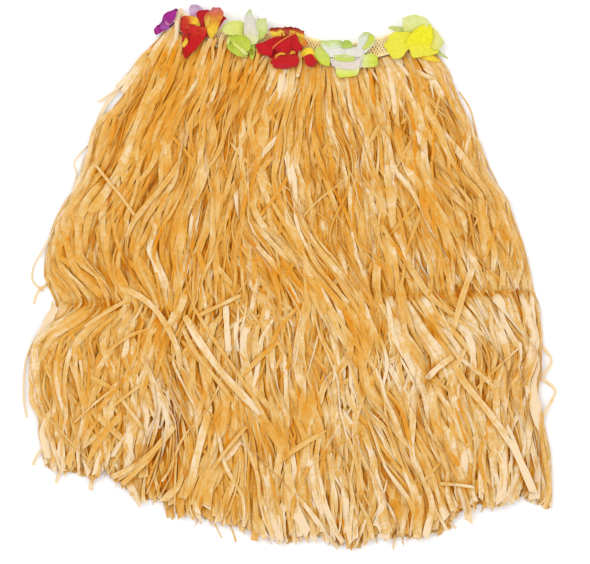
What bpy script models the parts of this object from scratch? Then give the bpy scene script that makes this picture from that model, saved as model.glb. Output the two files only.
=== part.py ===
"""A raffia grass skirt with fabric flowers on its braided waistband, laid flat.

Metres, +Z up. The skirt lies on the plane z = 0, its front upwards and its waist
towards +Y, with the origin under the middle of its outline. Four rows of strands,
two of the front on two of the back, hang from strips along the band's lower edge.
"""

import math
import random
from collections import namedtuple

import bmesh
import bpy
from mathutils import Matrix, Vector

MM = 0.001
SEED = 11

# Clear space between pieces that lie on or beside each other.
SEAM = 0.3 * MM

# Waistband: a loop of flat elastic, pressed flat.
BAND_WIDTH = 20 * MM
BAND_WALL = 2.2 * MM
BAND_INSIDE_GAP = 1.2 * MM
BAND_CELLS = 24
BAND_TURN_STEPS = 3

# Backing strips: one under the band's lower edge for each row of strands.
STRIP_WIDTH = 4 * MM
STRIP_THICKNESS = 1.2 * MM

# Strands: flat ribbons of four sides. A strand fills this share of its own place in the row.
STRAND_THICKNESS = 1.4 * MM
ROOT_FILL = 0.74
STRAND_FILL = 0.84
NARROWEST_SHARE = 0.9

# How the strands stray: the step of one strand's drift from level to level, the length down
# the skirt over which a row's sway turns by one radian, and the share of a row's width, one
# part in this many, over which the sway dies out at each side.
WANDER_STEP = 0.8
SWAY_TURN_MM = 45.0
EDGE_CALM = 8

# Petals: one layer of stiffened fabric.
PETAL_THICKNESS = 1.0 * MM
PETAL_STEPS = 20
HUB_RADIUS = 4.5 * MM
HUB_SHARE = 0.26
BELLY_SHARE = 0.66
CUP_CURVE = 1.6
LOBE_POWER = 4
BARE_REACH_MM = 7.0
BARE_RISE_MM = 0.2
MERGE_DISTANCE = 0.1 * MM

# Middle line of the band, from the left turn to the right one, in millimetres.
WaistPoint = namedtuple("WaistPoint", "x y")
WAISTLINE = (
    WaistPoint(-110, 255.5),
    WaistPoint(-88, 244.5),
    WaistPoint(-64, 236.5),
    WaistPoint(-26, 234.5),
    WaistPoint(15, 230.0),
    WaistPoint(57, 221.5),
    WaistPoint(92, 229.5),
    WaistPoint(124, 239.0),
    WaistPoint(150, 238.0),
)

# Levels down the skirt, in millimetres. A line lies at y and follows the waist's curve by the
# share follow. left and right are the outline there. The heights are those of each row's
# strands, middle of their thickness, and None where that row runs straight past the level.
Level = namedtuple("Level", "name y follow left right back_outer back_inner front_lower front_upper")
LEVELS = (
    Level("root", 0, 1.0, -125, 158, 0.6, 2.1, 3.6, 5.1),
    Level("shoulder", -24, 1.0, -151, 164, 0.7, 2.6, 4.7, 7.0),
    Level("hip", 156.5, 0.2, -192, 186, 0.7, None, 6.0, 9.3),
    Level("thigh", 81.5, 0.0, -221, 217, 0.7, 3.6, 6.8, 10.8),
    Level("above fold", 21.5, 0.0, -246, 237, None, None, None, 10.4),
    Level("fold", -26.5, 0.0, -237, 246, 0.7, 3.1, 5.4, 8.2),
    Level("under fold", -58.5, 0.0, -249, 249, None, None, None, 10.3),
    Level("knee", -101.5, 0.0, -264, 259, 0.7, None, 6.4, 10.6),
    Level("calf", -173.5, 0.0, -248, 261, None, None, None, 9.6),
    Level("past hem", -283.5, 0.0, -228, 265, 1.2, 3.2, 5.3, 8.7),
)
WAIST_LEVELS = ("root", "shoulder")

# Where the cut ends of the strands lie, in millimetres.
HemPoint = namedtuple("HemPoint", "x y")
HEMLINE = (
    HemPoint(-250, -186),
    HemPoint(-188, -203),
    HemPoint(-148, -205),
    HemPoint(-108, -231),
    HemPoint(-68, -250),
    HemPoint(-28, -259),
    HemPoint(52, -267),
    HemPoint(132, -252),
    HemPoint(172, -232),
    HemPoint(212, -224),
    HemPoint(262, -226),
)

# Rows of strands. drift is how far one strand strays from its even place, as a share of the
# spacing. sway is the sideways wave of the whole row. lift and roll loosen the upper row.
Row = namedtuple("Row", "name key strands colour drift sway_mm sway_waves lift_mm roll_deg")
ROWS = (
    Row("raffia_back_outer_row", "back_outer", 44, (0.60, 0.33, 0.10), 0.20, 5, 2.6, 0.0, 0),
    Row("raffia_back_inner_row", "back_inner", 36, (0.56, 0.30, 0.09), 0.20, 4, 1.7, 0.1, 1),
    Row("raffia_front_lower_row", "front_lower", 48, (0.66, 0.37, 0.12), 0.22, 6, 3.1, 0.2, 2),
    Row("raffia_front_upper_row", "front_upper", 52, (0.78, 0.47, 0.18), 0.24, 6, 2.3, 3.0, 14),
)
TIP_SHORTEST = 11 * MM
TIP_LONGEST = -4 * MM
TIP_SLANT = 2.5 * MM

# Petals of one layer: the direction each points in, its reach from the hub, the half angle
# that it spreads over and the height that its end rises to.
Petal = namedtuple("Petal", "direction reach spread rise")
PURPLE_PETALS = (
    Petal(52, 18, 44, 1.5),
    Petal(128, 8, 50, 3),
    Petal(196, 10, 50, 3),
    Petal(232, 17, 40, 1.5),
    Petal(320, 6, 60, 2),
)
LILAC_PETALS = (Petal(105, 24.5, 30, 0.3),)
RED_PETALS = (
    Petal(234, 33, 38, 6),
    Petal(198, 25, 40, 5),
    Petal(160, 26, 44, 5),
    Petal(96, 20, 40, 7),
    Petal(58, 26, 40, 10),
    Petal(30, 25, 20, 7),
    Petal(300, 13, 44, 3),
)
LIME_PETALS = (
    Petal(150, 26, 48, 7),
    Petal(84, 33, 22, 9),
    Petal(48, 30, 34, 7),
    Petal(264, 18, 50, 5),
    Petal(214, 21, 46, 5),
    Petal(330, 14, 44, 4),
)
SCARLET_PETALS = (
    Petal(178, 29, 38, 5),
    Petal(112, 18, 46, 8),
    Petal(60, 19, 46, 8),
    Petal(352, 23, 40, 5),
    Petal(324, 34, 26, 2.5),
    Petal(270, 22, 46, 2.5),
    Petal(218, 22, 40, 4),
)
WHITE_PETALS = (
    Petal(170, 29, 36, 5),
    Petal(134, 24, 40, 7),
    Petal(42, 32, 32, 9),
    Petal(352, 32, 34, 5),
    Petal(268, 23, 46, 4),
    Petal(214, 18, 40, 4),
)
YELLOW_PETALS = (
    Petal(90, 25, 50, 9),
    Petal(156, 25, 34, 7),
    Petal(192, 29, 38, 7),
    Petal(226, 25, 36, 6),
    Petal(300, 19, 44, 5),
    Petal(334, 26, 40, 6),
    Petal(18, 26, 46, 8),
)

# Flowers: hub place in millimetres, height of the hub's lower face above the band, share of
# the petals' reach that this layer has, turn of its petals, extra rise of its edge, lean and
# the way it leans. A layer with a share under 1 lies on the full layer of the same petals.
Layer = namedtuple("Layer", "name petals x y lowest share turn cup lean heading waves colour")
LAYERS = (
    Layer("flower_purple", PURPLE_PETALS, -119, 251.5, 3.6, 1.0, 0, 0, 30, 142, 0, (0.30, 0.02, 0.22)),
    Layer("petal_lilac", LILAC_PETALS, -86, 248, 0, 1.0, 0, 0, 0, 0, 0, (0.62, 0.45, 0.72)),
    Layer("flower_red_outer", RED_PETALS, -83, 246.5, 1.9, 1.0, 0, 0, 0, 0, 0, (0.58, 0.03, 0.02)),
    Layer("flower_red_inner", RED_PETALS, -83, 246.5, 3.6, 0.5, 30, 3, 0, 0, 0, (0.78, 0.24, 0.02)),
    Layer("flower_lime_outer", LIME_PETALS, -42, 234.5, 0, 1.0, 0, 0, 0, 0, 0, (0.62, 0.74, 0.18)),
    Layer("flower_lime_inner", LIME_PETALS, -42, 234.5, 1.7, 0.5, 40, 3, 0, 0, 0, (0.50, 0.66, 0.06)),
    Layer("flower_scarlet_outer", SCARLET_PETALS, -2, 231.5, 1.9, 1.0, 0, 0, 0, 0, 8, (0.58, 0.02, 0.02)),
    Layer("flower_scarlet_inner", SCARLET_PETALS, -2, 231.5, 4.6, 0.55, 25, 4, 0, 0, 5, (0.62, 0.02, 0.02)),
    Layer("flower_white_outer", WHITE_PETALS, 57, 220, 0, 1.0, 0, 0, 0, 0, 0, (0.74, 0.82, 0.50)),
    Layer("flower_white_inner", WHITE_PETALS, 57, 220, 1.7, 0.55, 30, 3, 0, 0, 0, (0.74, 0.72, 0.62)),
    Layer("flower_yellow_outer", YELLOW_PETALS, 127, 236.5, 0, 1.0, 0, 0, 0, 0, 0, (0.88, 0.78, 0.03)),
    Layer("flower_yellow_inner", YELLOW_PETALS, 127, 236.5, 1.7, 0.5, 35, 3, 0, 0, 0, (0.86, 0.82, 0.12)),
)
WAVE_HEIGHT = 1.2 * MM

BAND_THICKNESS = 2 * BAND_WALL + BAND_INSIDE_GAP
BAND_COLOUR = (0.72, 0.52, 0.34)
RAFFIA_ROUGHNESS = 0.45
BAND_ROUGHNESS = 0.8
PETAL_ROUGHNESS = 0.75


def remove_old_objects():
    """Empty the scene."""
    for thing in list(bpy.data.objects):
        bpy.data.objects.remove(thing, do_unlink=True)


def principled(name, colour, roughness):
    """Make a plain material."""
    material = bpy.data.materials.new(name)
    material.use_nodes = True
    shader = material.node_tree.nodes["Principled BSDF"]
    shader.inputs["Base Color"].default_value = (*colour, 1.0)
    shader.inputs["Roughness"].default_value = roughness
    shader.inputs["Metallic"].default_value = 0.0
    return material


def add_piece(name, shell, colour, roughness):
    """Turn a bmesh into a named object with its own material."""
    mesh = bpy.data.meshes.new(name)
    shell.to_mesh(mesh)
    shell.free()
    piece = bpy.data.objects.new(name, mesh)
    bpy.context.scene.collection.objects.link(piece)
    mesh.materials.append(principled(name, colour, roughness))
    return piece


def curve_through(points, x):
    """Read y at x (both in metres) from a smooth curve through a table in millimetres."""
    last = len(points) - 1
    place = min(max(x / MM, points[0].x), points[last].x)
    right = next(i for i in range(1, last + 1) if place <= points[i].x)
    left = right - 1
    span = points[right].x - points[left].x
    before = points[max(left - 1, 0)]
    after = points[min(right + 1, last)]
    slope_left = (points[right].y - before.y) / (points[right].x - before.x)
    slope_right = (after.y - points[left].y) / (after.x - points[left].x)
    t = (place - points[left].x) / span
    near = points[left].y * (1 + 2 * t) * (1 - t) ** 2 + slope_left * span * t * (1 - t) ** 2
    far = points[right].y * t * t * (3 - 2 * t) - slope_right * span * t * t * (1 - t)
    return (near + far) * MM


def band_middle(x):
    """Where the band's middle line runs at x, up the skirt."""
    return curve_through(WAISTLINE, x)


def root_line(x):
    """Lower edge of the backing strips, where the strands start."""
    return band_middle(x) - BAND_WIDTH / 2 - SEAM - STRIP_WIDTH


# Waistband -------------------------------------------------------------------


def loop_section(half_length, half_height):
    """Outline of the flattened loop, seen along the skirt: two runs and two round turns."""
    places = []
    straight = half_length - half_height
    for cell in range(BAND_CELLS + 1):
        places.append((-straight + 2 * straight * cell / BAND_CELLS, half_height))
    for step in range(1, BAND_TURN_STEPS):
        angle = math.pi / 2 - math.pi * step / BAND_TURN_STEPS
        places.append((straight + half_height * math.cos(angle), half_height * math.sin(angle)))
    for cell in range(BAND_CELLS + 1):
        places.append((straight - 2 * straight * cell / BAND_CELLS, -half_height))
    for step in range(1, BAND_TURN_STEPS):
        angle = -math.pi / 2 - math.pi * step / BAND_TURN_STEPS
        places.append((-straight + half_height * math.cos(angle), half_height * math.sin(angle)))
    return places


def ring_of_edges(shell, places):
    """Add a closed ring of edges in the XZ plane."""
    corners = [shell.verts.new((x, 0.0, z)) for x, z in places]
    return [shell.edges.new((corners[i - 1], corners[i])) for i in range(len(corners))]


def make_waistband():
    """The band: a flattened loop, extruded over its width and bent to the waist's curve."""
    first = WAISTLINE[0].x * MM
    last = WAISTLINE[-1].x * MM
    middle = (first + last) / 2
    half_length = (last - first) / 2
    shell = bmesh.new()
    outside = ring_of_edges(shell, loop_section(half_length, BAND_THICKNESS / 2))
    inside = ring_of_edges(shell, loop_section(half_length - BAND_WALL, BAND_INSIDE_GAP / 2))
    wall = bmesh.ops.bridge_loops(shell, edges=outside + inside)["faces"]
    raised = bmesh.ops.extrude_face_region(shell, geom=wall)["geom"]
    upper_corners = [item for item in raised if isinstance(item, bmesh.types.BMVert)]
    bmesh.ops.translate(shell, verts=upper_corners, vec=(0, BAND_WIDTH, 0))
    for vert in shell.verts:
        x = vert.co.x + middle
        y = vert.co.y - BAND_WIDTH / 2 + band_middle(x)
        vert.co = (x, y, vert.co.z + BAND_THICKNESS / 2)
    bmesh.ops.recalc_face_normals(shell, faces=shell.faces)
    return add_piece("waistband", shell, BAND_COLOUR, BAND_ROUGHNESS)


# Raffia rows -----------------------------------------------------------------


def level_y(level, x):
    """Where a level's line runs at x, in metres."""
    if level.name in WAIST_LEVELS:
        return root_line(x) + level.y * MM
    waist_dip = root_line(x) - root_line(0.0)
    return level.y * MM + level.follow * waist_dip


def centres_at(level, row, wander):
    """Middles of a row's strands on one level, in order from left to right."""
    width = (level.right - level.left) * MM
    phase = level.y / SWAY_TURN_MM
    sway_share = 0.0 if level.name == "root" else row.sway_mm * MM / width
    centres = []
    for number in range(row.strands):
        even = (number + 0.5) / row.strands
        drift = wander[number] * row.drift / row.strands
        edge_calm = min(1.0, EDGE_CALM * even, EDGE_CALM * (1 - even))
        sway = sway_share * edge_calm * math.sin(2 * math.pi * row.sway_waves * even + phase)
        centres.append(level.left * MM + width * (even + drift + sway))
    return centres


def half_widths(centres, fill, chance):
    """Half widths that leave a gap between each strand and both its neighbours."""
    halves = []
    for number, centre in enumerate(centres):
        gaps = []
        if number > 0:
            gaps.append(centre - centres[number - 1])
        if number < len(centres) - 1:
            gaps.append(centres[number + 1] - centre)
        halves.append(fill * chance.uniform(NARROWEST_SHARE, 1.0) * min(gaps) / 2)
    return halves


def row_sections(row, chance):
    """Edges of every strand of a row on each of its levels."""
    wander = [0.0] * row.strands
    sections = []
    for level in LEVELS:
        height = getattr(level, row.key)
        if height is None:
            continue
        at_root = level.name == "root"
        centres = centres_at(level, row, wander)
        halves = half_widths(centres, ROOT_FILL if at_root else STRAND_FILL, chance)
        steps = [chance.uniform(-WANDER_STEP, WANDER_STEP) for _ in wander]
        wander = [min(max(old + step, -1.0), 1.0) for old, step in zip(wander, steps)]
        thickness = STRIP_THICKNESS if at_root else STRAND_THICKNESS
        strands = []
        for centre, half in zip(centres, halves):
            lift = 0.0 if at_root else chance.uniform(0.0, row.lift_mm) * MM
            roll = 0.0 if at_root else math.radians(chance.uniform(-row.roll_deg, row.roll_deg))
            tilt = half * math.tan(roll)
            middle = height * MM + lift
            left, right = centre - half, centre + half
            strands.append(
                (
                    Vector((left, level_y(level, left), middle - tilt - thickness / 2)),
                    Vector((right, level_y(level, right), middle + tilt - thickness / 2)),
                    Vector((right, level_y(level, right), middle + tilt + thickness / 2)),
                    Vector((left, level_y(level, left), middle - tilt + thickness / 2)),
                )
            )
        sections.append(strands)
    return sections


def cut_to_hem(sections, chance):
    """Shorten the last stretch of each strand so that it ends, cut aslant, near the hem."""
    cut = []
    for above, below in zip(sections[-2], sections[-1]):
        middle = (below[0].x + below[1].x) / 2
        hem = curve_through(HEMLINE, middle) + chance.uniform(TIP_LONGEST, TIP_SHORTEST)
        slant = chance.uniform(-TIP_SLANT, TIP_SLANT)
        ends = []
        for corner, (upper, lower) in enumerate(zip(above, below)):
            side = -1 if corner in (0, 3) else 1
            share = (upper.y - hem - side * slant) / (upper.y - lower.y)
            ends.append(upper.lerp(lower, share))
        cut.append(tuple(ends))
    return sections[:-1] + [cut]


def make_backing(shell, roots, lowest):
    """The strip that a row's roots are fused into: a box with a cell for each root and gap."""
    first = roots[0][0].x - STRIP_THICKNESS
    last = roots[-1][1].x + STRIP_THICKNESS
    places = [first]
    for root in roots:
        places += [root[0].x, root[1].x]
    places.append(last)
    cells = len(places) - 1
    bmesh.ops.create_grid(shell, x_segments=cells, y_segments=1, size=0.5)
    for vert in shell.verts:
        x = places[round((vert.co.x + 0.5) * cells)]
        y = root_line(x) + (STRIP_WIDTH if vert.co.y > 0 else 0.0)
        vert.co = (x, y, lowest)
    raised = bmesh.ops.extrude_face_region(shell, geom=list(shell.faces))["geom"]
    upper_corners = [item for item in raised if isinstance(item, bmesh.types.BMVert)]
    bmesh.ops.translate(shell, verts=upper_corners, vec=(0, 0, STRIP_THICKNESS))
    bmesh.ops.recalc_face_normals(shell, faces=shell.faces)


def root_faces(shell, roots):
    """The faces of the strip's lower side that strands grow from, from left to right."""
    sides = [face for face in shell.faces if face.normal.y < -abs(face.normal.z)]
    found = []
    for root in roots:
        middle = (root[0].x + root[1].x) / 2
        found.append(min(sides, key=lambda face: abs(face.calc_center_median().x - middle)))
    return found


def grow_strand(shell, face, sections):
    """Extrude a root face from one cross-section to the next."""
    centre = face.calc_center_median()
    order = []
    for loop in face.loops:
        on_right = loop.vert.co.x > centre.x
        on_top = loop.vert.co.z > centre.z
        order.append((3, 2)[on_right] if on_top else (0, 1)[on_right])
    for section in sections:
        face = bmesh.ops.extrude_discrete_faces(shell, faces=[face])["faces"][0]
        for corner, loop in zip(order, face.loops):
            loop.vert.co = section[corner]


def make_row(row):
    """One row of strands, fused at their roots into its strip and free below it."""
    chance = random.Random(f"{SEED} {row.name}")
    sections = cut_to_hem(row_sections(row, chance), chance)
    roots = sections[0]
    shell = bmesh.new()
    make_backing(shell, roots, roots[0][0].z)
    for number, face in enumerate(root_faces(shell, roots)):
        grow_strand(shell, face, [level[number] for level in sections[1:]])
    return add_piece(row.name, shell, row.colour, RAFFIA_ROUGHNESS)


# Flowers ---------------------------------------------------------------------


def petal_edge(petals, angle):
    """Reach and rise of a layer's edge in one direction, from the petal that reaches furthest."""
    reach, rise = BARE_REACH_MM, BARE_RISE_MM
    for petal in petals:
        away = abs((angle - petal.direction + 180) % 360 - 180) / petal.spread
        if away >= 1:
            continue
        bulge = (1 - away ** LOBE_POWER) ** 0.5
        if petal.reach * bulge > reach:
            reach, rise = petal.reach * bulge, petal.rise * bulge ** CUP_CURVE
    return reach * MM, rise * MM


def dish_height(petals, radius):
    """Height above the hub that clears a full layer of these petals in every direction."""
    highest = 0.0
    for petal in petals:
        share = min(radius / (petal.reach * MM), 1.0)
        highest = max(highest, petal.rise * MM * share ** CUP_CURVE)
    return highest


def make_layer(layer):
    """One layer of petals: a spun dish, pulled out into its petals, cupped and thickened."""
    shell = bmesh.new()
    chain = [shell.verts.new((share, 0.0, 0.0)) for share in (0.0, HUB_SHARE, BELLY_SHARE, 1.0)]
    edges = [shell.edges.new(pair) for pair in zip(chain, chain[1:])]
    bmesh.ops.spin(shell, geom=chain + edges, axis=(0, 0, 1), cent=(0, 0, 0),
                   angle=2 * math.pi, steps=PETAL_STEPS, use_merge=True)
    bmesh.ops.remove_doubles(shell, verts=shell.verts, dist=MERGE_DISTANCE)
    bmesh.ops.recalc_face_normals(shell, faces=shell.faces)
    if sum(face.normal.z for face in shell.faces) < 0:
        bmesh.ops.reverse_faces(shell, faces=shell.faces)
    for vert in shell.verts:
        share = vert.co.xy.length
        if share < HUB_SHARE / 2:
            continue
        angle = math.degrees(math.atan2(vert.co.y, vert.co.x))
        reach, rise = petal_edge(layer.petals, angle - layer.turn)
        radius, height = HUB_RADIUS, 0.0
        if share > (HUB_SHARE + BELLY_SHARE) / 2:
            radius = max(layer.share * reach * share, HUB_RADIUS * (1 + share))
            height = rise * share ** CUP_CURVE
            if layer.share < 1.0:
                height = dish_height(layer.petals, radius) + layer.cup * MM * share ** CUP_CURVE
            height += WAVE_HEIGHT * math.sin(math.radians(layer.waves * angle)) * share ** 3
        flat = Vector((math.cos(math.radians(angle)), math.sin(math.radians(angle)), 0.0))
        vert.co = flat * radius + Vector((0.0, 0.0, height))
    heading = math.radians(layer.heading)
    axis = Vector((-math.sin(heading), math.cos(heading), 0.0))
    lean = Matrix.Rotation(math.radians(layer.lean), 4, axis)
    base = BAND_THICKNESS + SEAM + layer.lowest * MM + PETAL_THICKNESS
    shell.transform(Matrix.Translation((layer.x * MM, layer.y * MM, base)) @ lean)
    piece = add_piece(layer.name, shell, layer.colour, PETAL_ROUGHNESS)
    wall = piece.modifiers.new("fabric thickness", "SOLIDIFY")
    wall.thickness = PETAL_THICKNESS
    wall.offset = -1.0
    return piece


def main():
    """Build the skirt."""
    remove_old_objects()
    make_waistband()
    for row in ROWS:
        make_row(row)
    for layer in LAYERS:
        make_layer(layer)


main()
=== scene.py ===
# %% [markdown]
# # A raffia grass skirt with flowers on its waistband
#
# The skirt lies flat on a pale floor, its waist to the north. It is made of three things: an
# elastic waistband of braided cord, a deep fringe of raffia ribbons tied to the band, and six
# bright cloth flowers that hide the knots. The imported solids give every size; this lesson
# dresses them.

# %% Load the frame
import math
from collections import namedtuple

import bpy
import numpy as np
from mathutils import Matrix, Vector


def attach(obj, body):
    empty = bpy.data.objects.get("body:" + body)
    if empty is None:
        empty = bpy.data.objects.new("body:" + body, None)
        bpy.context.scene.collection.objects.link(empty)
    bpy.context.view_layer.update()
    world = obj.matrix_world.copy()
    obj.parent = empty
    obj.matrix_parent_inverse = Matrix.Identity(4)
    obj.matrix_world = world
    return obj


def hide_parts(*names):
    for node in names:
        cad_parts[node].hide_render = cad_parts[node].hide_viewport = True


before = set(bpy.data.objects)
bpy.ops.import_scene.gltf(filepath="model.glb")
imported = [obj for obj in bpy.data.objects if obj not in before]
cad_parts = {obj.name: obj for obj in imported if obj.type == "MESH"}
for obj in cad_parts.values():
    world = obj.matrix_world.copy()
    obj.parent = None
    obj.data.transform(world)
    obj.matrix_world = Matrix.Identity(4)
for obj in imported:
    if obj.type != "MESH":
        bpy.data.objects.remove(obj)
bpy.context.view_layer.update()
MM = 0.001
print("solids:", sorted(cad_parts))

# %% [markdown]
# ## Floor, light and camera
#
# A flat lay is shot from straight above, so one long lens looks down and the floor is plain
# paper. A large soft light from the upper left shapes the ribbons, and a weak one from the
# other side keeps the gaps warm instead of black. Colours are shown without a film curve, so
# the straw stays as bright as it is.

# %% Camera, floor and lights
FRAME_WIDTH = 590 * MM
FRAME_MIDDLE = (7 * MM, -5.5 * MM)
CAMERA_HEIGHT = 6.0


def stage_camera():
    """A long lens that looks straight down on the frame's middle."""
    data = bpy.data.cameras.new("overhead_camera")
    data.sensor_width = 36.0
    data.lens = data.sensor_width * CAMERA_HEIGHT / FRAME_WIDTH
    camera = bpy.data.objects.new("overhead_camera", data)
    camera.location = (*FRAME_MIDDLE, CAMERA_HEIGHT)
    bpy.context.scene.collection.objects.link(camera)
    bpy.context.scene.camera = camera


def soft_light(name, place, size, power):
    """A square light that shines on the middle of the skirt."""
    data = bpy.data.lights.new(name, "AREA")
    data.size = size
    data.energy = power
    light = bpy.data.objects.new(name, data)
    light.location = place
    light.rotation_euler = (-Vector(place)).to_track_quat("-Z", "Y").to_euler()
    bpy.context.scene.collection.objects.link(light)


stage_camera()
soft_light("key_light", (-0.8, 0.7, 2.0), size=1.2, power=16.4)
soft_light("fill_light", (1.0, -0.5, 2.0), size=1.6, power=8.4)
world = bpy.data.worlds.new("studio")
world.use_nodes = True
sky = world.node_tree.nodes["Background"]
sky.inputs["Color"].default_value = (1, 1, 1, 1)
sky.inputs["Strength"].default_value = 1.02
bpy.context.scene.world = world
bpy.context.scene.view_settings.view_transform = "Standard"

bpy.ops.object.select_all(action="DESELECT")
bpy.ops.mesh.primitive_plane_add(size=12, location=(0, 0, 0))
floor = bpy.context.object
floor.name = "floor"
print("camera, floor and two lights")

# %% [markdown]
# ## A small language for finishes
#
# A finish is arithmetic on patterns. One class holds a socket, and its operators add the Math
# nodes, so that `1 - mask` reads as it would on paper.

# %% Sockets with operators
class Socket:
    """An output of a shader node. Arithmetic on it adds Math nodes."""

    def __init__(self, tree, link):
        self.tree = tree
        self.link = link

    def node(self, kind, inputs=(), out=0, stops=None, **settings):
        """Add any node: its settings first, then the values or links of its inputs."""
        made = self.tree.nodes.new(kind)
        for name, value in settings.items():
            setattr(made, name, value)
        if stops:
            ramp = made.color_ramp
            while len(ramp.elements) < len(stops):
                ramp.elements.new(1.0)
            for element, (place, colour) in zip(ramp.elements, stops):
                element.position = place
                element.color = (*colour, 1.0)
        for name, value in dict(inputs).items():
            socket = made.inputs[name]
            if isinstance(value, Socket):
                self.tree.links.new(value.link, socket)
            else:
                socket.default_value = value
        return Socket(self.tree, made.outputs[out])

    def output(self, name):
        """Another output of the same node."""
        return Socket(self.tree, self.link.node.outputs[name])

    def maths(self, operation, *others, clamp=False):
        values = {0: self, **{n + 1: other for n, other in enumerate(others)}}
        return self.node("ShaderNodeMath", values, operation=operation, use_clamp=clamp)

    def __add__(self, other):
        return self.maths("ADD", other)

    def __sub__(self, other):
        return self.maths("SUBTRACT", other)

    def __rsub__(self, other):
        return (self * -1.0) + other

    def __mul__(self, other):
        return self.maths("MULTIPLY", other)

    def clamped(self):
        return self.maths("ADD", 0.0, clamp=True)

    __radd__ = __add__


def new_finish(name, roughness=0.5, sheen=0.0, gloss=0.5):
    """A material, its shader, and a socket to start expressions from."""
    material = bpy.data.materials.new(name)
    material.use_nodes = True
    shader = material.node_tree.nodes["Principled BSDF"]
    shader.inputs["Roughness"].default_value = roughness
    shader.inputs["Sheen Weight"].default_value = sheen
    shader.inputs["Specular IOR Level"].default_value = gloss
    tree = material.node_tree
    start = Socket(tree, tree.nodes.new("ShaderNodeTexCoord").outputs["UV"])
    return material, shader, start


def feed(socket, shader, name):
    """Link a socket to one of the shader's inputs."""
    socket.tree.links.new(socket.link, shader.inputs[name])


def noise(place, scale=1.0, detail=2.0, roughness=0.5):
    """Cloudy noise at a place."""
    values = {"Vector": place, "Scale": scale, "Detail": detail, "Roughness": roughness}
    return place.node("ShaderNodeTexNoise", values, out="Fac")


def emboss(height, shader, strength, distance):
    """Let a height stand out from the shader's surface."""
    values = {"Strength": strength, "Distance": distance, "Height": height}
    feed(height.node("ShaderNodeBump", values), shader, "Normal")


floor_paper, paper_shader, _ = new_finish("floor_paper", 0.9)
paper_shader.inputs["Base Color"].default_value = (0.93, 0.93, 0.93, 1)
floor.data.materials.append(floor_paper)
print("shader arithmetic is ready")

# %% [markdown]
# ## How the raffia falls
#
# Real raffia is a leaf split into ribbons, most of them 4 to 10 mm wide. Tied close together
# at the waist, the ribbons fan out and follow the skirt's outline. So each ribbon keeps a
# lane, which is its share of the width, and a few combing strokes push neighbours aside
# together: the crease of the old fold, and the locks that lean. The tables are in
# millimetres, to the right and upwards from the middle of the floor.

# %% Outline, hem and waist
def columns(names, rows):
    """A table's columns as arrays, each under its own name, in metres."""
    return dict(zip(names.split(), np.array(rows, float).T * MM))


outline = columns("y left right", (
    (-280, -240, 263), (-183, -247, 261), (-143, -249, 252), (-118, -255, 247), (-93, -258, 251),
    (-68, -256, 251), (-48, -241, 249), (-33, -236, 248), (-18, -240, 245), (1, -243, 242), (21, -243, 237),
    (51, -235, 227), (81, -217, 215), (101, -206, 200), (131, -199, 192), (150, -192, 184),
    (165, -183, 177), (178, -173, 172), (188, -166, 168), (201, -161, 163), (210, -155, 158),
    (221, -146, 150), (241, -126, 148), (252, -124, 148),
))
notch = columns("y x", (
    (154, -300), (155, -195), (163, -178), (171, -168), (180, -161), (191, -157), (200, -170), (201, -300),
))
hem = columns("x y", (
    (-250, -184), (-228, -192), (-208, -191), (-194, -200), (-178, -188), (-160, -203), (-148, -207),
    (-134, -219), (-112, -220), (-104, -237), (-84, -238), (-68, -243), (-44, -246), (-34, -241),
    (-20, -260), (0, -262), (30, -254), (42, -264), (58, -268), (80, -258), (110, -256), (126, -259),
    (150, -250), (172, -231), (192, -225), (212, -226), (240, -219), (262, -228),
))
waist = columns("x y", (
    (-110, 255.5), (-88, 244.5), (-64, 236.5), (-26, 234.5), (15, 230), (57, 221.5), (92, 229.5),
    (124, 238.5), (147, 236),
))
ROOT_BELOW_WAIST = 14.3 * MM
print("outline of", len(outline["y"]), "levels")


# %% Places on the skirt
def smooth_step(value, low, high):
    """0 below low, 1 above high, and a soft rise between them."""
    share = np.clip((value - low) / (high - low), 0, 1)
    return share * share * (3 - 2 * share)


def edges_at(y):
    """The skirt's left and right outline at a height y."""
    return (np.interp(y, outline["y"], outline["left"]), np.interp(y, outline["y"], outline["right"]))


def keep_inside(x, y, inset):
    """Keep ribbons within the outline, and out of the notch at the upper left."""
    left, right = edges_at(y)
    left = np.maximum(left, np.interp(y, notch["y"], notch["x"]))
    return np.clip(x, left + inset, right - inset)


def share_at(x, y):
    """How far across the skirt a point lies: 0 on the left outline, 1 on the right one."""
    left, right = edges_at(y)
    return (x - left) / (right - left)


def root_y(x):
    """Where the ribbons start under the waistband."""
    return np.interp(x, waist["x"], waist["y"]) - ROOT_BELOW_WAIST


def hem_y(x):
    """Where the ribbons were cut."""
    return np.interp(x, hem["x"], hem["y"])


# %% Lanes, combing strokes and locks
STROKES = (  # x, y, across, along, lean
    (-208, -4, 34, 19, 0.8), (-206, -45, 38, 19, -0.75), (-178, 30, 30, 40, 0.25),
    (-10, 180, 32, 45, -0.25), (58, 160, 26, 45, 0.25), (5, 40, 42, 55, 0.42), (48, -20, 42, 60, 0.36),
    (112, 30, 40, 50, 0.2), (172, -50, 76, 32, 0.76), (-120, 110, 50, 60, -0.15), (-66, -75, 40, 40, 0.25),
    (-128, -185, 46, 46, -0.35), (75, -150, 42, 85, 0.3), (122, -200, 34, 28, 0.5),
    (-30, -200, 40, 50, -0.15),
)
LOCK_WAVES = (150 * MM, 95 * MM, 64 * MM)
LOCK_LEAN = 0.15


def lane_slope(x, y):
    """Sideways step of a lane for each step down."""
    down = 10 * MM
    share = share_at(x, y)
    left, right = edges_at(y - down)
    return (left + (right - left) * share - x) / down


def stroke_slope(x, y):
    """Sideways push of all the combing strokes at a point."""
    push = np.zeros_like(x)
    for middle_x, middle_y, across, along, lean in STROKES:
        sideways = (x - middle_x * MM) / (across * MM)
        down = (y - middle_y * MM) / (along * MM)
        push += lean * np.exp(-(sideways ** 2 + down ** 4))
    return push


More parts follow.
